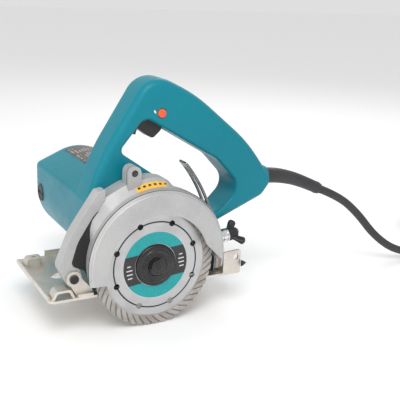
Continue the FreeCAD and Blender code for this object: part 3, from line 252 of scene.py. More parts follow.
SLOT_MATERIALS = {
    "plated_steel": PLATED, "polished_steel": CHROME, "cast_aluminium": CAST, "teal_moulding": TEAL,
    "black_plastic": BLACK, "dark_steel": DARK_STEEL, "button_red": ORANGE, "rubber_black": RUBBER,
    "copper": COPPER, "brass": BRASS, "electrical_steel": LAMINATED, "carbon": CARBON,
}


# ------------------------------------------------------------------ blade, rim, label and plate materials
def blade_vectors(nodes, links):
    """Radius, angle and the two in-plane coordinates about the blade's axis, in metres."""
    vector = object_vector(nodes)
    shifted = nodes.new("ShaderNodeVectorMath")
    shifted.operation = "SUBTRACT"
    shifted.inputs[1].default_value = at(0, 0, 0)
    links.new(vector, shifted.inputs[0])
    split = nodes.new("ShaderNodeSeparateXYZ")
    links.new(shifted.outputs[0], split.inputs[0])
    x, z = split.outputs["X"], split.outputs["Z"]
    square = math_node(nodes, links, "ADD", math_node(nodes, links, "MULTIPLY", x, x),
                       math_node(nodes, links, "MULTIPLY", z, z))
    radius = math_node(nodes, links, "SQRT", square)
    angle = math_node(nodes, links, "ARCTAN2", z, x)
    return vector, x, z, radius, angle


def band(nodes, links, value, centre, half, soft):
    """One inside |value - centre| < half, with a soft edge."""
    away = math_node(nodes, links, "ABSOLUTE", math_node(nodes, links, "SUBTRACT", value, centre))
    return ramp(nodes, links, away, half - soft, half + soft, 1.0, 0.0)


def make_core_material():
    """Ground steel core with turned lines, a printed black ring and dark rims round its cooling holes."""
    material, nodes, links, shader = new_material("blade_core_steel")
    vector, _, _, radius, angle = blade_vectors(nodes, links)
    combined = nodes.new("ShaderNodeCombineXYZ")
    links.new(math_node(nodes, links, "MULTIPLY", radius, 9000.0), combined.inputs["X"])
    links.new(math_node(nodes, links, "MULTIPLY", angle, 3.0), combined.inputs["Y"])
    turned = noise(nodes, links, combined.outputs[0], 1.0, 3.0)
    cloudy = noise(nodes, links, vector, 60.0, 4.0)
    colour = mix(nodes, links, ramp(nodes, links, turned, 0.3, 0.7), (0.47, 0.47, 0.475), (0.60, 0.60, 0.605))
    colour = mix(nodes, links, ramp(nodes, links, cloudy, 0.5, 0.75, 0.0, 0.35), colour, (0.36, 0.35, 0.34))
    ring = band(nodes, links, radius, HOLE_CIRCLE, 0.62 * MM, 0.06 * MM)
    ripple = math_node(nodes, links, "COSINE", math_node(nodes, links, "MULTIPLY", angle, 8.0))
    outward = math_node(nodes, links, "SUBTRACT", radius, HOLE_CIRCLE)
    sideways = math_node(nodes, links, "MULTIPLY", math_node(nodes, links, "ADD", ripple, 1.0),
                         HOLE_CIRCLE ** 2 / 32)
    distance = math_node(nodes, links, "ADD", math_node(nodes, links, "MULTIPLY", outward, outward), sideways)
    hole_dot = ramp(nodes, links, distance, (2.5 * MM) ** 2, (2.3 * MM) ** 2)
    ink = math_node(nodes, links, "MAXIMUM", ring, hole_dot)
    links.new(mix(nodes, links, ink, colour, (0.012, 0.012, 0.012)), shader.inputs["Base Color"])
    links.new(ramp(nodes, links, ink, 0.0, 1.0, 0.9, 0.0), shader.inputs["Metallic"])
    links.new(ramp(nodes, links, cloudy, 0.3, 0.7, 0.34, 0.46), shader.inputs["Roughness"])
    links.new(bump(nodes, links, turned, 0.00001, 0.5), shader.inputs["Normal"])
    return material


def make_rim_material():
    """Sintered diamond rim: grey-brown matrix, sparkling grit, darker brown in its slanted grooves."""
    material, nodes, links, shader = new_material("diamond_rim")
    vector = object_vector(nodes)
    groove = nodes.new("ShaderNodeAttribute")
    groove.attribute_name = "groove"
    grit = noise(nodes, links, vector, 2600.0, 2.0)
    patch = noise(nodes, links, vector, 120.0, 4.0)
    colour = mix(nodes, links, ramp(nodes, links, patch, 0.35, 0.65), (0.30, 0.275, 0.25), (0.44, 0.42, 0.40))
    colour = mix(nodes, links, ramp(nodes, links, grit, 0.56, 0.72, 0.0, 0.7), colour, (0.66, 0.64, 0.60))
    colour = mix(nodes, links, groove.outputs["Fac"], colour, (0.115, 0.080, 0.058))
    links.new(colour, shader.inputs["Base Color"])
    links.new(ramp(nodes, links, grit, 0.3, 0.7, 0.75, 0.45), shader.inputs["Roughness"])
    shader.inputs["Metallic"].default_value = 0.35
    links.new(bump(nodes, links, grit, 0.00012, 0.8), shader.inputs["Normal"])
    return material


def make_label_material():
    """Printed disc: teal segments above and below a charcoal band, with plain grey bars on the band."""
    material, nodes, links, shader = new_material("blade_label_print")
    vector, x, z, radius, _ = blade_vectors(nodes, links)
    turned = math.radians(6.0)
    along = math_node(nodes, links, "ADD", math_node(nodes, links, "MULTIPLY", x, math.cos(turned)),
                      math_node(nodes, links, "MULTIPLY", z, math.sin(turned)))
    across = math_node(nodes, links, "SUBTRACT", math_node(nodes, links, "MULTIPLY", z, math.cos(turned)),
                       math_node(nodes, links, "MULTIPLY", x, math.sin(turned)))
    middle = band(nodes, links, across, -0.5 * MM, 12.6 * MM, 0.06 * MM)
    wear = noise(nodes, links, vector, 500.0, 4.0)
    teal = mix(nodes, links, ramp(nodes, links, wear, 0.4, 0.7), (0.002, 0.30, 0.31), (0.006, 0.35, 0.36))
    charcoal = mix(nodes, links, ramp(nodes, links, wear, 0.4, 0.7),
                   (0.020, 0.019, 0.021), (0.035, 0.033, 0.036))
    colour = mix(nodes, links, middle, teal, charcoal)
    sideways = math_node(nodes, links, "ABSOLUTE", along)
    bars = None
    for level, half_length in ((4.0, 1.6), (0.4, 2.6), (-3.0, 2.6), (-6.4, 2.0)):
        bar = math_node(nodes, links, "MULTIPLY", band(nodes, links, across, level * MM, 0.5 * MM, 0.08 * MM),
                        band(nodes, links, sideways, 23.3 * MM, half_length * MM, 0.1 * MM))
        bars = bar if bars is None else math_node(nodes, links, "MAXIMUM", bars, bar)
    colour = mix(nodes, links, bars, colour, (0.62, 0.62, 0.62))
    edge = band(nodes, links, radius, 29.0 * MM, 0.5 * MM, 0.05 * MM)
    colour = mix(nodes, links, edge, colour, (0.55, 0.55, 0.55))
    links.new(colour, shader.inputs["Base Color"])
    links.new(ramp(nodes, links, wear, 0.3, 0.7, 0.32, 0.46), shader.inputs["Roughness"])
    links.new(bump(nodes, links, wear, 0.00001, 0.5), shader.inputs["Normal"])
    return material


def make_plate_material():
    """Etched plate: dark field, paler frame and rows of plain pale bars."""
    material, nodes, links, shader = new_material("nameplate_print")
    vector = object_vector(nodes)
    split = nodes.new("ShaderNodeSeparateXYZ")
    links.new(vector, split.inputs[0])
    y, x = split.outputs["Y"], split.outputs["X"]
    rows = math_node(nodes, links, "SINE", math_node(nodes, links, "MULTIPLY", x, 2100.0))
    row = ramp(nodes, links, rows, 0.2, 0.5)
    inside = band(nodes, links, y, (132.0 + ARBOR_Y) * MM, 23.0 * MM, 0.3 * MM)
    wide = noise(nodes, links, vector, 130.0, 1.0)
    broken = ramp(nodes, links, wide, 0.47, 0.52)
    text = math_node(nodes, links, "MULTIPLY", math_node(nodes, links, "MULTIPLY", row, inside), broken)
    grain = noise(nodes, links, vector, 1800.0, 3.0)
    field = mix(nodes, links, ramp(nodes, links, grain, 0.3, 0.7), (0.10, 0.085, 0.080), (0.15, 0.13, 0.125))
    colour = mix(nodes, links, text, field, (0.50, 0.47, 0.45))
    links.new(colour, shader.inputs["Base Color"])
    shader.inputs["Metallic"].default_value = 0.5
    links.new(ramp(nodes, links, grain, 0.3, 0.7, 0.30, 0.42), shader.inputs["Roughness"])
    links.new(bump(nodes, links, text, 0.00003, 0.5), shader.inputs["Normal"])
    return material


def make_sticker_material():
    """Yellow-orange sticker with plain dark bars."""
    material, nodes, links, shader = new_material("sticker_print")
    vector = object_vector(nodes)
    split = nodes.new("ShaderNodeSeparateXYZ")
    links.new(vector, split.inputs[0])
    wear = noise(nodes, links, vector, 700.0, 3.0)
    bars = math_node(nodes, links, "SINE", math_node(nodes, links, "MULTIPLY", split.outputs["X"], 1350.0))
    rows = math_node(nodes, links, "SINE", math_node(nodes, links, "MULTIPLY", split.outputs["Y"], 1700.0))
    ink = math_node(nodes, links, "MULTIPLY", ramp(nodes, links, bars, -0.1, 0.1),
                    ramp(nodes, links, rows, 0.1, 0.3))
    yellow = mix(nodes, links, ramp(nodes, links, wear, 0.35, 0.65), (0.80, 0.42, 0.035), (0.86, 0.52, 0.08))
    links.new(mix(nodes, links, ink, yellow, (0.03, 0.025, 0.02)), shader.inputs["Base Color"])
    links.new(ramp(nodes, links, wear, 0.3, 0.7, 0.3, 0.45), shader.inputs["Roughness"])
    links.new(bump(nodes, links, wear, 0.00001, 0.4), shader.inputs["Normal"])
    return material


CORE = make_core_material()
RIM = make_rim_material()
LABEL = make_label_material()
PLATE = make_plate_material()
STICKER = make_sticker_material()
SLOT_MATERIALS.update({"blade_steel": CORE, "diamond_rim": RIM, "label_print": LABEL, "plate_print": PLATE})

NODE_SLOTS = {entry["node"]: entry["material_slot"] for entry in frame["record"]["subparts"]}
NODE_BODIES = {node: body for body, members in frame["record"]["behaviour"]["bodies"].items()
               for node in members}


# ------------------------------------------------------------------ mesh helpers
def new_piece(name, mesh, body, material, nodes=()):
    """Visible object on a body, which stands for CAD nodes where some are named."""
    piece = bpy.data.objects.new(name, mesh)
    scene.collection.objects.link(piece)
    mesh.materials.clear()
    mesh.materials.append(material)
    for polygon in mesh.polygons:
        polygon.use_smooth = True
    if body is not None:
        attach(piece, body)
    if nodes:
        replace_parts(piece, *nodes)
    return piece


def mesh_from(name, points, faces):
    """Mesh of points and faces with its normals turned outwards."""
    mesh = bpy.data.meshes.new(name)
    mesh.from_pydata([tuple(point) for point in points], [], faces)
    work = bmesh.new()
    work.from_mesh(mesh)
    bmesh.ops.recalc_face_normals(work, faces=work.faces)
    work.to_mesh(mesh)
    work.free()
    return mesh


def tube_faces(rows, steps):
    """Quads between neighbouring rings of points, and a cap on the first and the last ring."""
    faces = []
    for row in range(rows - 1):
        for step in range(steps):
            after = (step + 1) % steps
            faces.append((row * steps + step, row * steps + after,
                          (row + 1) * steps + after, (row + 1) * steps + step))
    last = (rows - 1) * steps
    return faces + [tuple(range(steps)), tuple(range(last, last + steps))]


def frame_along(direction, hint=Vector((0, 0, 1))):
    """Two unit vectors square to a direction; the first is square to the hint as well."""
    direction = direction.normalized()
    if abs(direction.dot(hint)) > 0.95:
        hint = Vector((1, 0, 0))
    side = direction.cross(hint).normalized()
    return side, side.cross(direction).normalized()


def lathe(name, origin, axis, profile, steps=96):
    """Closed turned mesh: profile is (distance along the axis, radius) in millimetres."""
    side, up = frame_along(axis)
    axis = axis.normalized()
    points = []
    for along, radius in profile:
        for step in range(steps):
            angle = 2 * math.pi * step / steps
            outward = side * math.cos(angle) + up * math.sin(angle)
            points.append(origin + (axis * along + outward * radius) * MM)
    return mesh_from(name, points, tube_faces(len(profile), steps))


def add_edges_bevel(piece, width, segments=2, angle=32.0):
    """Rounded edges with even shading."""
    bevel = piece.modifiers.new("edges", "BEVEL")
    bevel.width = width * MM
    bevel.segments = segments
    bevel.limit_method = "ANGLE"
    bevel.angle_limit = math.radians(angle)
    bevel.use_clamp_overlap = True
    bevel.miter_outer = "MITER_ARC"
    bevel.harden_normals = True


def clean_copy(node):
    """New mesh with a CAD node's surface, its doubled points merged and its flat faces whole."""
    source = frame["nodes"][node].data
    mesh = bpy.data.meshes.new(node + "_surface")
    mesh.from_pydata([tuple(vertex.co) for vertex in source.vertices], [],
                     [tuple(polygon.vertices) for polygon in source.polygons])
    work = bmesh.new()
    work.from_mesh(mesh)
    bmesh.ops.remove_doubles(work, verts=work.verts, dist=2e-6)
    bmesh.ops.dissolve_degenerate(work, edges=work.edges, dist=1e-6)
    bmesh.ops.dissolve_limit(work, angle_limit=math.radians(0.8), verts=work.verts, edges=work.edges)
    bmesh.ops.recalc_face_normals(work, faces=work.faces)
    work.to_mesh(mesh)
    work.free()
    return mesh


def soften(node, width, segments=2, angle=32.0, material=None):
    """Visible copy of a CAD node with rounded edges."""
    slot = NODE_SLOTS[node]
    piece = new_piece(node + "_piece", clean_copy(node), NODE_BODIES[node],
                      material or SLOT_MATERIALS[slot], [node])
    piece.data.set_sharp_from_angle(angle=math.radians(angle))
    add_edges_bevel(piece, width, segments, angle)
    return piece


# ------------------------------------------------------------------ mains cord, coil, tie and plug
EXIT = (194.2, -9.5, 56.2)
LYING_Z = -27.0
CORD_RADIUS = 4.0
COIL_X, COIL_Y = 436.0, 34.0
CORD_ROUTE = [
    EXIT,
    (221.0, -9.8, 45.5),
    (247.0, -10.8, 25.0),
    (271.0, -13.0, -2.0),
    (300.0, -17.0, -21.5),
    (338.0, -21.5, LYING_Z),
    (384.0, -21.0, LYING_Z),
]
COIL_WIDE, COIL_MIDDLE, COIL_NARROW, COIL_LAYER = 51.6, 43.9, 36.2, 7.9
COIL_LEGS = [
    (COIL_WIDE, COIL_NARROW, 0, 0, 32),
    (COIL_NARROW, COIL_NARROW, 0, 1, 8),
    (COIL_NARROW, COIL_WIDE, 1, 1, 32),
    (COIL_WIDE, COIL_WIDE, 1, 2, 8),
    (COIL_WIDE, COIL_MIDDLE, 2, 2, 13),
]
POINTS_A_TURN = 16
COIL_TO_PLUG = [
    (398.6, 11.0, -11.0),
    (405.0, 0.5, -6.5),
    (411.0, -6.5, -3.0),
    (420.0, -14.5, -3.0),
    (430.0, -21.0, -8.0),
    (441.0, -25.0, -15.0),
    (449.5, -26.0, -18.0),
    (459.0, -26.0, -18.0),
]
PLUG_START = (458.0, -26.0, -18.0)


def coil_points():
    """Control points of the coil: flat spirals in, out and in again, one above the other."""
    points = []
    angle = -math.pi / 2
    spread = 1 / math.sqrt(math.cos(math.pi / POINTS_A_TURN))
    for start, end, layer, next_layer, count in COIL_LEGS:
        for step in range(count):
            share = step / count
            radius = (start + (end - start) * share) * spread
            height = LYING_Z + COIL_LAYER * (layer + (next_layer - layer) * share)
            points.append((COIL_X + radius * math.cos(angle), COIL_Y + radius * math.sin(angle), height))
            angle += 2 * math.pi / POINTS_A_TURN
    return points


def smooth_line(points, resolution=8):
    """Points along the NURBS spline that has these control points, in millimetres."""
    curve = bpy.data.curves.new("line", "CURVE")
    curve.dimensions = "3D"
    spline = curve.splines.new("NURBS")
    spline.points.add(len(points) - 1)
    for control, point in zip(spline.points, points):
        control.co = (point[0] * MM, point[1] * MM, point[2] * MM, 1)
    spline.order_u = 3
    spline.use_endpoint_u = True
    spline.resolution_u = resolution
    holder = bpy.data.objects.new("line", curve)
    scene.collection.objects.link(holder)
    mesh = bpy.data.meshes.new_from_object(holder.evaluated_get(bpy.context.evaluated_depsgraph_get()))
    line = [vertex.co.copy() for vertex in mesh.vertices]
    bpy.data.objects.remove(holder)
    bpy.data.curves.remove(curve)
    bpy.data.meshes.remove(mesh)
    return line


def sweep(name, line, sections, steps=20, first=None):
    """Closed mesh along a line in metres; a section is (half width, half height, exponent) in millimetres.

    The half width lies square to both the line and the vector first.
    """
    points, count = [], len(line)
    tangent = (line[1] - line[0]).normalized()
    side, up = frame_along(tangent, first or Vector((0, 0, 1)))
    for index, centre in enumerate(line):
        before, after = line[max(index - 1, 0)], line[min(index + 1, count - 1)]
        tangent = (after - before).normalized()
        side = (side - tangent * side.dot(tangent)).normalized()
        up = side.cross(tangent).normalized()
        half_width, half_height, power = sections[index]
        for step in range(steps):
            angle = 2 * math.pi * step / steps
            c, s = math.cos(angle), math.sin(angle)
            across = math.copysign(abs(c) ** (2 / power), c) * half_width
            rise = math.copysign(abs(s) ** (2 / power), s) * half_height
            points.append(centre + (side * across + up * rise) * MM)
    return mesh_from(name, points, tube_faces(count, steps))


def make_plug():
    """Moulded plug: ribbed neck swelling into a rounded body with a grip hollow and a flat face."""
    stations = [(0.0, 5.2, 5.2, 2.0), (1.2, 6.2, 6.2, 2.0), (4.0, 6.4, 6.4, 2.0), (4.8, 5.4, 5.4, 2.0),
                (6.4, 5.5, 5.5, 2.0), (7.2, 7.0, 7.0, 2.0), (10.0, 7.4, 7.4, 2.0), (10.8, 6.3, 6.3, 2.0),
                (12.4, 6.6, 6.6, 2.1), (14.0, 9.0, 9.2, 2.4), (19.0, 11.2, 11.3, 2.8), (24.0, 11.0, 11.8, 3.2),
                (29.0, 12.2, 12.6, 3.6), (31.0, 12.9, 12.9, 4.2), (36.6, 12.9, 12.9, 4.4),
                (37.6, 12.5, 12.5, 4.4), (38.0, 11.8, 11.8, 4.4)]
    start = Vector(PLUG_START) * MM
    line = [start + Vector((along * MM, 0, 0)) for along, *_ in stations]
    mesh = sweep("plug_surface", line, [tuple(section) for _, *section in stations], steps=48)
    return new_piece("plug_moulding", mesh, "base", RUBBER, ["plug_body"])


plug = make_plug()
plug_pins = soften("plug_pins", 0.4)


def make_tie():
    """Strap pulled tight round the coil's turns, its free end lying over its start."""
    loop = [(46.5, -6.9), (50.6, -7.4), (53.4, -12.0), (56.0, -17.0), (56.2, -21.5), (53.4, -27.5),
            (50.6, -30.4), (44.0, -30.6), (37.6, -30.4), (33.4, -26.5), (31.7, -20.6), (32.8, -16.4),
            (36.5, -13.0), (42.8, -8.0), (47.0, -6.0), (51.0, -6.6), (54.4, -11.5), (56.6, -14.5)]
    line = smooth_line([(COIL_X, COIL_Y + radius, height) for radius, height in loop], 6)
    mesh = sweep("cord_tie_surface", line, [(4.5, 0.45, 4.0)] * len(line), 20)
    return new_piece("cord_tie_strap", mesh, "base", BLACK, ["cord_tie"])


cord_tie = make_tie()
cord_line = smooth_line(CORD_ROUTE + coil_points() + COIL_TO_PLUG)
cord_mesh = sweep("cord_surface", cord_line, [(CORD_RADIUS, CORD_RADIUS, 2.0)] * len(cord_line), steps=16)
cord = new_piece("mains_cord", cord_mesh, None, RUBBER, ["power_cord", "cord_coil"])
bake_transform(cord)


# ------------------------------------------------------------------ cord guard
def make_guard():
    """Tapered rubber guard: round collar in the handle's tail, long taper, rolled lip at its end."""
    route = [(119.0, 53.5), (134.0, 53.5), (152.0, 50.9), (173.0, 44.4), (195.4, 34.2)]
    line = smooth_line([tuple(at(x, HANDLE_Y, z) / MM) for x, z in route], 10)
    total = len(line) - 1
    sections = []
    for index in range(len(line)):
        share = index / total
        radius = 7.55 - 2.0 * share ** 1.3
        if share > 0.955:
            radius += 0.35
        if share > 0.995:
            radius -= 0.7
        sections.append((radius, radius, 2.0))
    mesh = sweep("cord_guard_surface", line, sections, steps=40)
    new_piece("cord_guard_taper", mesh, "saw", RUBBER, ["cord_guard"])


make_guard()


# ------------------------------------------------------------------ blade
def make_rim():
    """Turbo rim: both faces carry slanted grooves, and the edge is nicked where each groove meets it."""
    grooves, samples, rings = 46, 10, 8
    inner, outer, thick = 44.0, 52.5, 1.2
    slant = math.radians(10.0)
    columns = grooves * samples
    loops = [(side, ring / rings) for side in (-1, 1) for ring in range(rings + 1)]
    points, shades = [], []
    for side, share in loops:
        radius = inner + (outer - inner) * share
        for column in range(columns):
            phase = (column / samples) % 1.0
            in_groove = max(0.0, 1.0 - (min(phase, 1.0 - phase) / 0.17) ** 2)
            angle = 2 * math.pi * column / columns + side * -slant * share
            depth = 0.42 * in_groove * min(1.0, share * 4)
            reach = radius - (0.9 * in_groove if share == 1 else 0.0)
            y = side * (thick - depth)
            points.append(at(reach * math.cos(angle), y, reach * math.sin(angle)))
            shades.append(in_groove * min(1.0, share * 4) * 0.85)
    faces = []
    for layer in range(2):
        for ring in range(rings):
            row = (layer * (rings + 1) + ring) * columns
            for column in range(columns):
                after = (column + 1) % columns
                faces.append((row + column, row + after, row + columns + after, row + columns + column))
    near_outer, far_outer = rings * columns, (2 * rings + 1) * columns
    near_inner, far_inner = 0, (rings + 1) * columns
    lag = round(2 * slant / (2 * math.pi) * columns)
    for column in range(columns):
        after = (column + 1) % columns
        faces.append((near_outer + column, near_outer + after,
                      far_outer + (after + lag) % columns, far_outer + (column + lag) % columns))
        faces.append((near_inner + column, near_inner + after, far_inner + after, far_inner + column))
    mesh = mesh_from("rim_surface", points, faces)
    shade = mesh.attributes.new("groove", "FLOAT", "POINT")
    shade.data.foreach_set("value", shades)
    new_piece("turbo_rim", mesh, "spindle", RIM, ["blade_rim"])
    mesh.set_sharp_from_angle(angle=math.radians(35))


make_rim()
soften("blade_core", 0.12)
soften("blade_label", 0.03)
Y_AXIS = Vector((0, 1, 0))


def make_outer_flange():
    """Turned clamp flange with stepped rings, a sunk face and a chamfered rim."""
    profile = [(0.9, 4.5), (0.9, 8.0), (0.2, 8.6), (0.2, 9.6), (0.7, 10.2), (0.8, 12.6), (0.6, 13.0),
               (0.6, 13.6), (0.9, 14.0), (1.5, 14.4), (1.7, 16.2), (2.2, 17.2), (3.0, 17.8), (4.0, 18.0)]
    mesh = lathe("outer_flange_surface", at(0, -4.9, 0), Y_AXIS, profile, 120)
    new_piece("outer_flange_turned", mesh, "spindle", DARK_STEEL, ["outer_flange"])
    mesh.set_sharp_from_angle(angle=math.radians(40))


def make_bolt():
    """Hexagon bolt head with a washer face, chamfered corners and a dimpled top."""
    steps, points = 72, []
    levels = [(0.0, 3.0, 0.0), (0.25, 3.4, 0.0), (0.0, 3.9, 0.0), (0.0, 5.4, 0.0), (0.7, 6.9, 0.7),
              (4.2, 6.9, 1.0), (4.25, 7.6, 0.0), (5.0, 7.7, 0.0)]
    for along, radius, hexagonal in levels:
        for step in range(steps):
            angle = 2 * math.pi * step / steps
            local = (angle - math.radians(15) + math.pi / 6) % (math.pi / 3) - math.pi / 6
            flat = math.cos(math.pi / 6) / math.cos(math.pi / 6 - abs(local))
            reach = radius * (1 - hexagonal + hexagonal * flat)
            points.append(at(reach * math.cos(angle), -7.7 + along * 0.56, reach * math.sin(angle)))
    mesh = mesh_from("blade_bolt_surface", points, tube_faces(len(levels), steps))
    new_piece("blade_bolt_head", mesh, "spindle", DARK_STEEL, ["blade_bolt"])
    mesh.set_sharp_from_angle(angle=math.radians(28))


make_outer_flange()
make_bolt()


# ------------------------------------------------------------------ casting between blade case and flange
FLANGE = [(-49.0, 30.0, 20), (-44.0, -6.0, 22), (-18.0, -20.8, 9), (18.0, -20.8, 9), (34.0, 0.0, 14),
          (53.0, 8.0, 10), (46.0, 44.0, 14), (23.0, 58.5, 10), (14.0, 68.5, 8), (0.0, 71.5, 30),
          (-22.0, 66.5, 30), (-43.5, 56.0, 4), (-48.0, 46.0, 5)]
BACK_CENTRE, BACK_RADIUS = (4.5, 3.5), 60.4


def rounded_outline(corners, samples=8):
    """Closed outline with a smooth curve at each corner; a corner is (x, z, radius)."""
    outline = []
    for index, (x, z, radius) in enumerate(corners):
        corner = Vector((x, z))
        before = (Vector(corners[index - 1][:2]) - corner).normalized()
        after = (Vector(corners[(index + 1) % len(corners)][:2]) - corner).normalized()
        reach = radius / math.tan(before.angle(after) / 2)
        first, last = corner + before * reach, corner + after * reach
        for step in range(samples + 1):
            share = step / samples
            outline.append(first * (1 - share) ** 2 + corner * 2 * share * (1 - share) + last * share ** 2)
    return outline


def reach_at(outline, angle):
    """Distance from the case's back centre to the outline in one direction."""
    centre = Vector(BACK_CENTRE)
    ray = Vector((math.cos(angle), math.sin(angle)))
    best = 0.0
    for first, last in zip(outline, outline[1:] + outline[:1]):
        edge = last - first
        cross = ray.x * edge.y - ray.y * edge.x
        if abs(cross) < 1e-9:
            continue
        to_first = first - centre
        along = (to_first.x * edge.y - to_first.y * edge.x) / cross
        share = (to_first.x * ray.y - to_first.y * ray.x) / cross
        if along > 0 and -1e-6 <= share <= 1 + 1e-6:
            best = max(best, along)
    return best


SKIRT_START, SKIRT_END = math.radians(8.0), math.radians(160.0)
SKIRT_NEAR, SKIRT_FAR = 2.0, 11.2
WEB = [(138.0, 67.5), (146.0, 67.6), (152.0, 65.2), (160.0, BACK_RADIUS)]


def skirt_point(angle, share, lift=0.0):
    """Point on the skirt: share runs from the case's wall to the flange's edge."""
    degrees = math.degrees(angle)
    reach = max(reach_at(FLANGE_OUTLINE, angle), BACK_RADIUS)
    for (a, ra), (b, rb) in zip(WEB, WEB[1:]):
        if a <= degrees <= b:
            reach = ra + (rb - ra) * (degrees - a) / (b - a)
    radius = BACK_RADIUS + 0.05 + (reach - BACK_RADIUS) * share + lift
    y = SKIRT_NEAR + (SKIRT_FAR - SKIRT_NEAR) * share ** 0.85 - lift
    return at(BACK_CENTRE[0] + radius * math.cos(angle), y, BACK_CENTRE[1] + radius * math.sin(angle))


FLANGE_OUTLINE = rounded_outline(FLANGE)


def skirt_patch(name, start, end, shares, lift, columns):
    """Closed shell over part of the skirt, with its back sunk below the surface."""
    points = []
    rows = [(share, lift) for share in shares] + [(share, lift - 1.2) for share in reversed(shares)]
    for column in range(columns + 1):
        angle = start + (end - start) * column / columns
        points += [skirt_point(angle, share, height) for share, height in rows]
    return mesh_from(name, points, tube_faces(columns + 1, len(rows)))


skirt_mesh = skirt_patch("case_skirt_surface", SKIRT_START, SKIRT_END, [k / 8 for k in range(9)], 0.0, 150)
skirt = new_piece("case_skirt", skirt_mesh, "saw", CAST)
sticker_mesh = skirt_patch("case_sticker_surface", math.radians(84.0), math.radians(108.5),
                           [0.08, 0.26, 0.44, 0.62], 0.12, 40)
sticker = new_piece("case_sticker", sticker_mesh, "saw", STICKER)
for piece in (skirt, sticker):
    piece.data.set_sharp_from_angle(angle=math.radians(40))


def ring_arc(name, y, radius, thick, start, end, steps=120):
    """Round bead along an arc about the case's front centre."""
    line = []
    for step in range(steps + 1):
        angle = math.radians(start + (end - start) * step / steps)
        line.append(at(radius * math.cos(angle), y, CASE_CENTRE_Z + radius * math.sin(angle)))
    return sweep(name, line, [(thick, thick, 2.0)] * len(line), 10, first=Y_AXIS)


CASE_CENTRE_Z = 4.5
CASE_ARC = (-11.0, 187.0)
# The first ring is dark and paints the groove's shadow line on the case wall; the second is the raised lip
# beside it.
for name, y, radius, thick, material in (("case_groove_shadow", -6.3, 59.85, 0.42, GROOVE_SHADOW),
                                         ("case_bead", -8.3, 59.0, 0.75, CAST)):
    arc = ring_arc(name + "_surface", y, radius, thick, *CASE_ARC)
    new_piece(name, arc, "saw", material)


# ------------------------------------------------------------------ screws
CASE_SCREWS = [(-16.0, 7.0, 76.4), (34.0, 6.0, 34.0), (-34.0, 6.0, 36.0)]
HANDLE_SCREWS = [(48.0, 27.0), (110.0, 53.0), (5.0, 134.0), (-29.0, 74.0)]
COVER_SCREWS = [(-28.4, 3.782), (14.0, 3.782), (14.0, 46.182), (-28.4, 46.182)]
BASE_SCREWS = [(-61.0, 15.0, -17.3), (-55.5, 15.0, -17.3),
               (79.5, 12.0, -17.5), (73.5, 18.0, -17.5)]
HANDLE_SEAT_Y, COVER_SEAT_Y = 60.0, 173.0


def screw_mesh(name, places, axis, radius, height):
    """Domed screw heads with cross recesses, in one mesh; places are the heads' seats."""
    side, up = frame_along(axis)
    axis = axis.normalized()
    steps, rings = 48, 12
    points, faces = [], []
    for place in places:
        base = len(points)
        for ring in range(rings + 1):
            share = ring / rings
            for step in range(steps):
                angle = 2 * math.pi * step / steps
                u, v = share * math.cos(angle), share * math.sin(angle)
                dome = height * (1 - 0.55 * share ** 2) * (1.0 if share < 0.97 else 0.6)
                slot = min(abs(u), abs(v)) < 0.14 and max(abs(u), abs(v)) < 0.58
                lift = dome - (height * 0.55 if slot else 0.0)
                points.append(place + (side * u * radius + up * v * radius + axis * lift) * MM)
        for step in range(steps):
            angle = 2 * math.pi * step / steps
            points.append(place + (side * math.cos(angle) + up * math.sin(angle)) * radius * MM)
        for row in range(rings + 1):
            for step in range(steps):
                after = (step + 1) % steps
                faces.append((base + row * steps + step, base + row * steps + after,
                              base + (row + 1) * steps + after, base + (row + 1) * steps + step))
        faces.append(tuple(base + (rings + 1) * steps + step for step in range(steps)))
    mesh = mesh_from(name, points, faces)
    work = bmesh.new()
    work.from_mesh(mesh)
    bmesh.ops.remove_doubles(work, verts=work.verts, dist=1e-7)
    work.to_mesh(mesh)
    work.free()
    return mesh


def make_screws(name, node, places, axis, radius, height, body):
    """Detailed heads in place of a node's plain ones."""
    mesh = screw_mesh(name + "_surface", places, Vector(axis), radius, height)
    new_piece(name, mesh, body, DARK_STEEL, [node])
    mesh.set_sharp_from_angle(angle=math.radians(30))


make_screws("case_screw_heads", "case_screws", [at(*place) for place in CASE_SCREWS],
            (0, -1, 0), 2.7, 0.5, "saw")
make_screws("handle_screw_heads", "handle_screws", [at(x, HANDLE_SEAT_Y, z) for x, z in HANDLE_SCREWS],
            (0, 1, 0), 3.4, 1.0, "saw")
make_screws("cover_screw_heads", "cover_screws", [at(x, COVER_SEAT_Y, z) for x, z in COVER_SCREWS],
            (0, 1, 0), 3.0, 1.2, "saw")
make_screws("base_screw_heads", "base_screws", [at(*place) for place in BASE_SCREWS],
            (0, 0, 1), 2.2, 1.6, "base")


# ------------------------------------------------------------------ clamp
PIVOT_X, PIVOT_Z = -67.0, -5.0
CLAMP_Y = 16.7
SLEEVE_REACH, NUT_REACH = 131.3, 145.6
CLAMP_TILT = math.radians(6.2)
CLAMP_AXIS = Vector((math.cos(CLAMP_TILT), 0, math.sin(CLAMP_TILT)))


def along_clamp(reach):
    """Point on the clamp's axis, by its distance from the pivot in millimetres."""
    return at(PIVOT_X + reach * CLAMP_AXIS.x, CLAMP_Y, PIVOT_Z + reach * CLAMP_AXIS.z)


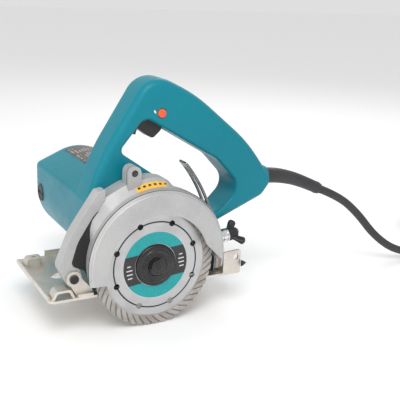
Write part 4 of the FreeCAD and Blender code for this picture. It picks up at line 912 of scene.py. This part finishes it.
def make_wing_nut():
    """Cast wing nut: turned hub and two wings that flare outwards and thicken to rounded tips."""
    seat = along_clamp(NUT_REACH)
    hub = lathe("wing_hub", seat, CLAMP_AXIS,
                [(0.0, 3.1), (0.0, 5.2), (0.5, 5.9), (2.6, 6.0),
                 (5.5, 5.3), (8.3, 4.7), (9.0, 4.2), (9.0, 3.1)], 56)
    meshes = [hub]
    wing_angle = math.radians(-58.0)
    down = Vector((CLAMP_AXIS.z, 0, -CLAMP_AXIS.x))
    across = down * math.cos(wing_angle) + Y_AXIS * math.sin(wing_angle)
    for side in (-1, 1):
        outward = across * side
        line, sections = [], []
        for step in range(15):
            share = step / 14
            out = 2.0 + 10.2 * share
            ahead = 3.2 + 8.6 * share ** 1.25
            line.append(seat + (outward * out + CLAMP_AXIS * ahead) * MM)
            cap = math.sqrt(max(0.04, 1 - max(0.0, (share - 0.80) / 0.2) ** 2))
            wide = (2.6 + 1.2 * share) * cap
            thick = (2.5 - 1.3 * math.sin(math.pi * min(1.0, share * 1.1)) + 0.55 * share) * cap
            sections.append((wide, thick, 2.6))
        binormal = outward.cross(CLAMP_AXIS)
        meshes.append(sweep(f"wing{side + 1}", line, sections, 24, first=binormal))
    work = bmesh.new()
    for mesh in meshes:
        work.from_mesh(mesh)
        bpy.data.meshes.remove(mesh)
    joined = bpy.data.meshes.new("wing_nut_surface")
    work.to_mesh(joined)
    work.free()
    new_piece("wing_nut_cast", joined, "wing_nut", BLACK, ["wing_nut"])
    joined.set_sharp_from_angle(angle=math.radians(50))


def make_sleeve():
    """Bright sleeve with a turned groove and a thin washer at its outer end."""
    profile = [(0.0, 3.05), (0.0, 5.6), (0.4, 6.0), (7.2, 6.0), (7.5, 5.6), (8.1, 5.6), (8.4, 6.0),
               (11.6, 6.0), (11.9, 5.5), (12.4, 5.5), (12.5, 6.0), (13.7, 6.0), (14.0, 5.7), (14.0, 3.05)]
    mesh = lathe("clamp_sleeve_surface", along_clamp(SLEEVE_REACH), CLAMP_AXIS, profile, 72)
    new_piece("clamp_sleeve_turned", mesh, "saw", CHROME, ["clamp_sleeve"])
    mesh.set_sharp_from_angle(angle=math.radians(30))


make_wing_nut()
make_sleeve()
soften("clamp_bolt", 0.4)


# ------------------------------------------------------------------ brush caps, marks and small fittings
def make_brush_caps():
    """Screwed brush caps: domed disc with a milled slot and a raised rim."""
    lowest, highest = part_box("brush_caps")
    meshes = []
    for start, direction in ((lowest[0], -1), (highest[0], 1)):
        seat = Vector((start - direction * 2.0 * MM,
                       (lowest[1] + highest[1]) / 2, (lowest[2] + highest[2]) / 2))
        profile = [(0.0, 8.4), (1.9, 8.4), (2.5, 8.1), (2.8, 7.6),
                   (2.6, 6.9), (2.2, 6.4), (2.5, 3.4), (2.6, 0.6)]
        meshes.append(lathe("cap", seat, Vector((direction, 0, 0)), profile, 64))
    work = bmesh.new()
    for mesh in meshes:
        work.from_mesh(mesh)
        bpy.data.meshes.remove(mesh)
    for vertex in work.verts:
        height = abs(vertex.co.z - (lowest[2] + highest[2]) / 2)
        outward = max(lowest[0] - vertex.co.x, vertex.co.x - highest[0])
        across = abs(vertex.co.y - (lowest[1] + highest[1]) / 2)
        if height < 1.2 * MM and across < 6.8 * MM and outward > 0.1 * MM:
            vertex.co.x -= math.copysign(1.2 * MM, vertex.co.x - (lowest[0] + highest[0]) / 2)
    joined = bpy.data.meshes.new("brush_caps_surface")
    work.to_mesh(joined)
    work.free()
    joined.set_sharp_from_angle(angle=math.radians(40))
    new_piece("brush_caps_domed", joined, "saw", BLACK, ["brush_caps"])


make_brush_caps()
FACE_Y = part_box("handle_near")[0][1] / MM - ARBOR_Y
TICK = [at(10.4, FACE_Y - 0.05, 119.6), at(9.7, FACE_Y - 0.25, 120.9), at(8.9, FACE_Y - 0.05, 122.2)]
tick_mesh = sweep("lock_mark_surface", TICK, [(0.55, 0.3, 2.0), (0.8, 0.45, 2.0), (0.5, 0.3, 2.0)], 12,
                  first=Y_AXIS)
new_piece("lock_mark", tick_mesh, "saw", WHITE)
BUTTON_X, BUTTON_Z, BROW_RADIUS = 16.0, 119.5, 4.6
BROW = [at(BUTTON_X + BROW_RADIUS * math.cos(a), FACE_Y - 0.02, BUTTON_Z + BROW_RADIUS * math.sin(a))
        for a in (math.radians(30 + 120 * k / 16) for k in range(17))]
brow_mesh = sweep("button_brow_surface", BROW, [(0.45, 0.45, 2.0)] * len(BROW), 10, first=Y_AXIS)
new_piece("button_brow", brow_mesh, "saw", TEAL)
COLLAR = [(124.0, 9.0), (126.0, 9.6), (129.4, 9.4), (130.6, 8.8), (130.8, 8.0), (130.2, 7.3)]
collar = lathe("guard_collar_surface", at(0, HANDLE_Y, 53.5), Vector((1, 0, 0)), COLLAR, 64)
new_piece("guard_collar", collar, "saw", TEAL)
BOOT = [(-4.6, 101.5), (-3.8, 105.0), (-1.2, 108.6), (2.6, 111.2), (7.0, 112.4)]
boot_line = smooth_line([tuple(at(x, HANDLE_Y, z) / MM) for x, z in BOOT], 4)
boot_mesh = sweep("trigger_boot_surface", boot_line, [(7.2, 1.9, 5.0)] * len(boot_line), 24)
new_piece("trigger_boot", boot_mesh, "saw", BLACK)
POINTER = [(84.1, 1.2, -12.0), (86.0, 1.2, -12.0), (87.4, 1.2, -12.0), (89.0, 1.2, -12.0)]
pointer_mesh = sweep("rear_pointer_surface", [at(*point) for point in POINTER],
                     [(2.8, 1.0, 4.0), (2.3, 1.0, 4.0), (1.2, 0.8, 4.0), (0.2, 0.3, 2.0)], 16, first=Y_AXIS)
new_piece("rear_pointer", pointer_mesh, "base", BLACK)


# ------------------------------------------------------------------ CAD-shaped pieces with rounded edges
EDGE_WIDTHS = (("base_plate", 0.45), ("front_pivot_bracket", 0.45), ("pivot_pin", 0.35), ("guide_bracket", 0.4),
               ("guide_spacer", 0.3), ("blade_case", 0.9), ("gear_housing", 1.0), ("inner_guard", 0.4),
               ("motor_housing", 0.5), ("rear_cover", 0.8), ("handle_near", 0.5), ("handle_far", 0.5),
               ("trigger", 1.1), ("lock_button", 0.7), ("gasket", 0.1))
for node, width in EDGE_WIDTHS:
    soften(node, width, 3)
soften("depth_guide", 0.35, 3, material=GUIDE_STEEL)
soften("nameplate", 0.12)

REPLACED = {name for piece in scene.objects for name in piece.get("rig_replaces", [])}
for node, source in frame["nodes"].items():
    if node not in REPLACED:
        source.data.materials.clear()
        source.data.materials.append(SLOT_MATERIALS[NODE_SLOTS[node]])


# ------------------------------------------------------------------ floor, light
floor_mesh = bpy.data.meshes.new("floor")
floor_mesh.from_pydata([(-6, -6, FLOOR_Z - 0.0002), (6, -6, FLOOR_Z - 0.0002), (6, 6, FLOOR_Z - 0.0002),
                        (-6, 6, FLOOR_Z - 0.0002)], [], [(0, 1, 2, 3)])
floor = bpy.data.objects.new("floor", floor_mesh)
scene.collection.objects.link(floor)
floor_material, _, _, floor_shader = new_material("floor")
floor_shader.inputs["Base Color"].default_value = (0.97, 0.97, 0.97, 1)
floor_shader.inputs["Roughness"].default_value = 0.9
floor_mesh.materials.append(floor_material)

world = bpy.data.worlds.new("world")
world.use_nodes = True
world.node_tree.nodes["Background"].inputs[0].default_value = (1.0, 1.0, 1.0, 1)
world.node_tree.nodes["Background"].inputs[1].default_value = 0.74
scene.world = world


def area_light(name, place, target, size, power):
    """Soft rectangular light aimed at a point."""
    light = bpy.data.lights.new(name, "AREA")
    light.shape = "RECTANGLE"
    light.size, light.size_y = size
    light.energy = power
    holder = bpy.data.objects.new(name, light)
    scene.collection.objects.link(holder)
    holder.location = place
    holder.rotation_mode = "QUATERNION"
    holder.rotation_quaternion = (Vector(target) - Vector(place)).to_track_quat("-Z", "Y")


area_light("key", (-0.35, -0.75, 1.05), (0.03, 0.0, 0.05), (0.7, 0.7), 8.5)
area_light("fill", (-1.1, -0.35, 0.35), (0.0, 0.0, 0.05), (0.9, 0.6), 2.0)
area_light("rim", (0.7, 0.7, 0.9), (0.05, 0.05, 0.08), (0.6, 0.6), 3.0)
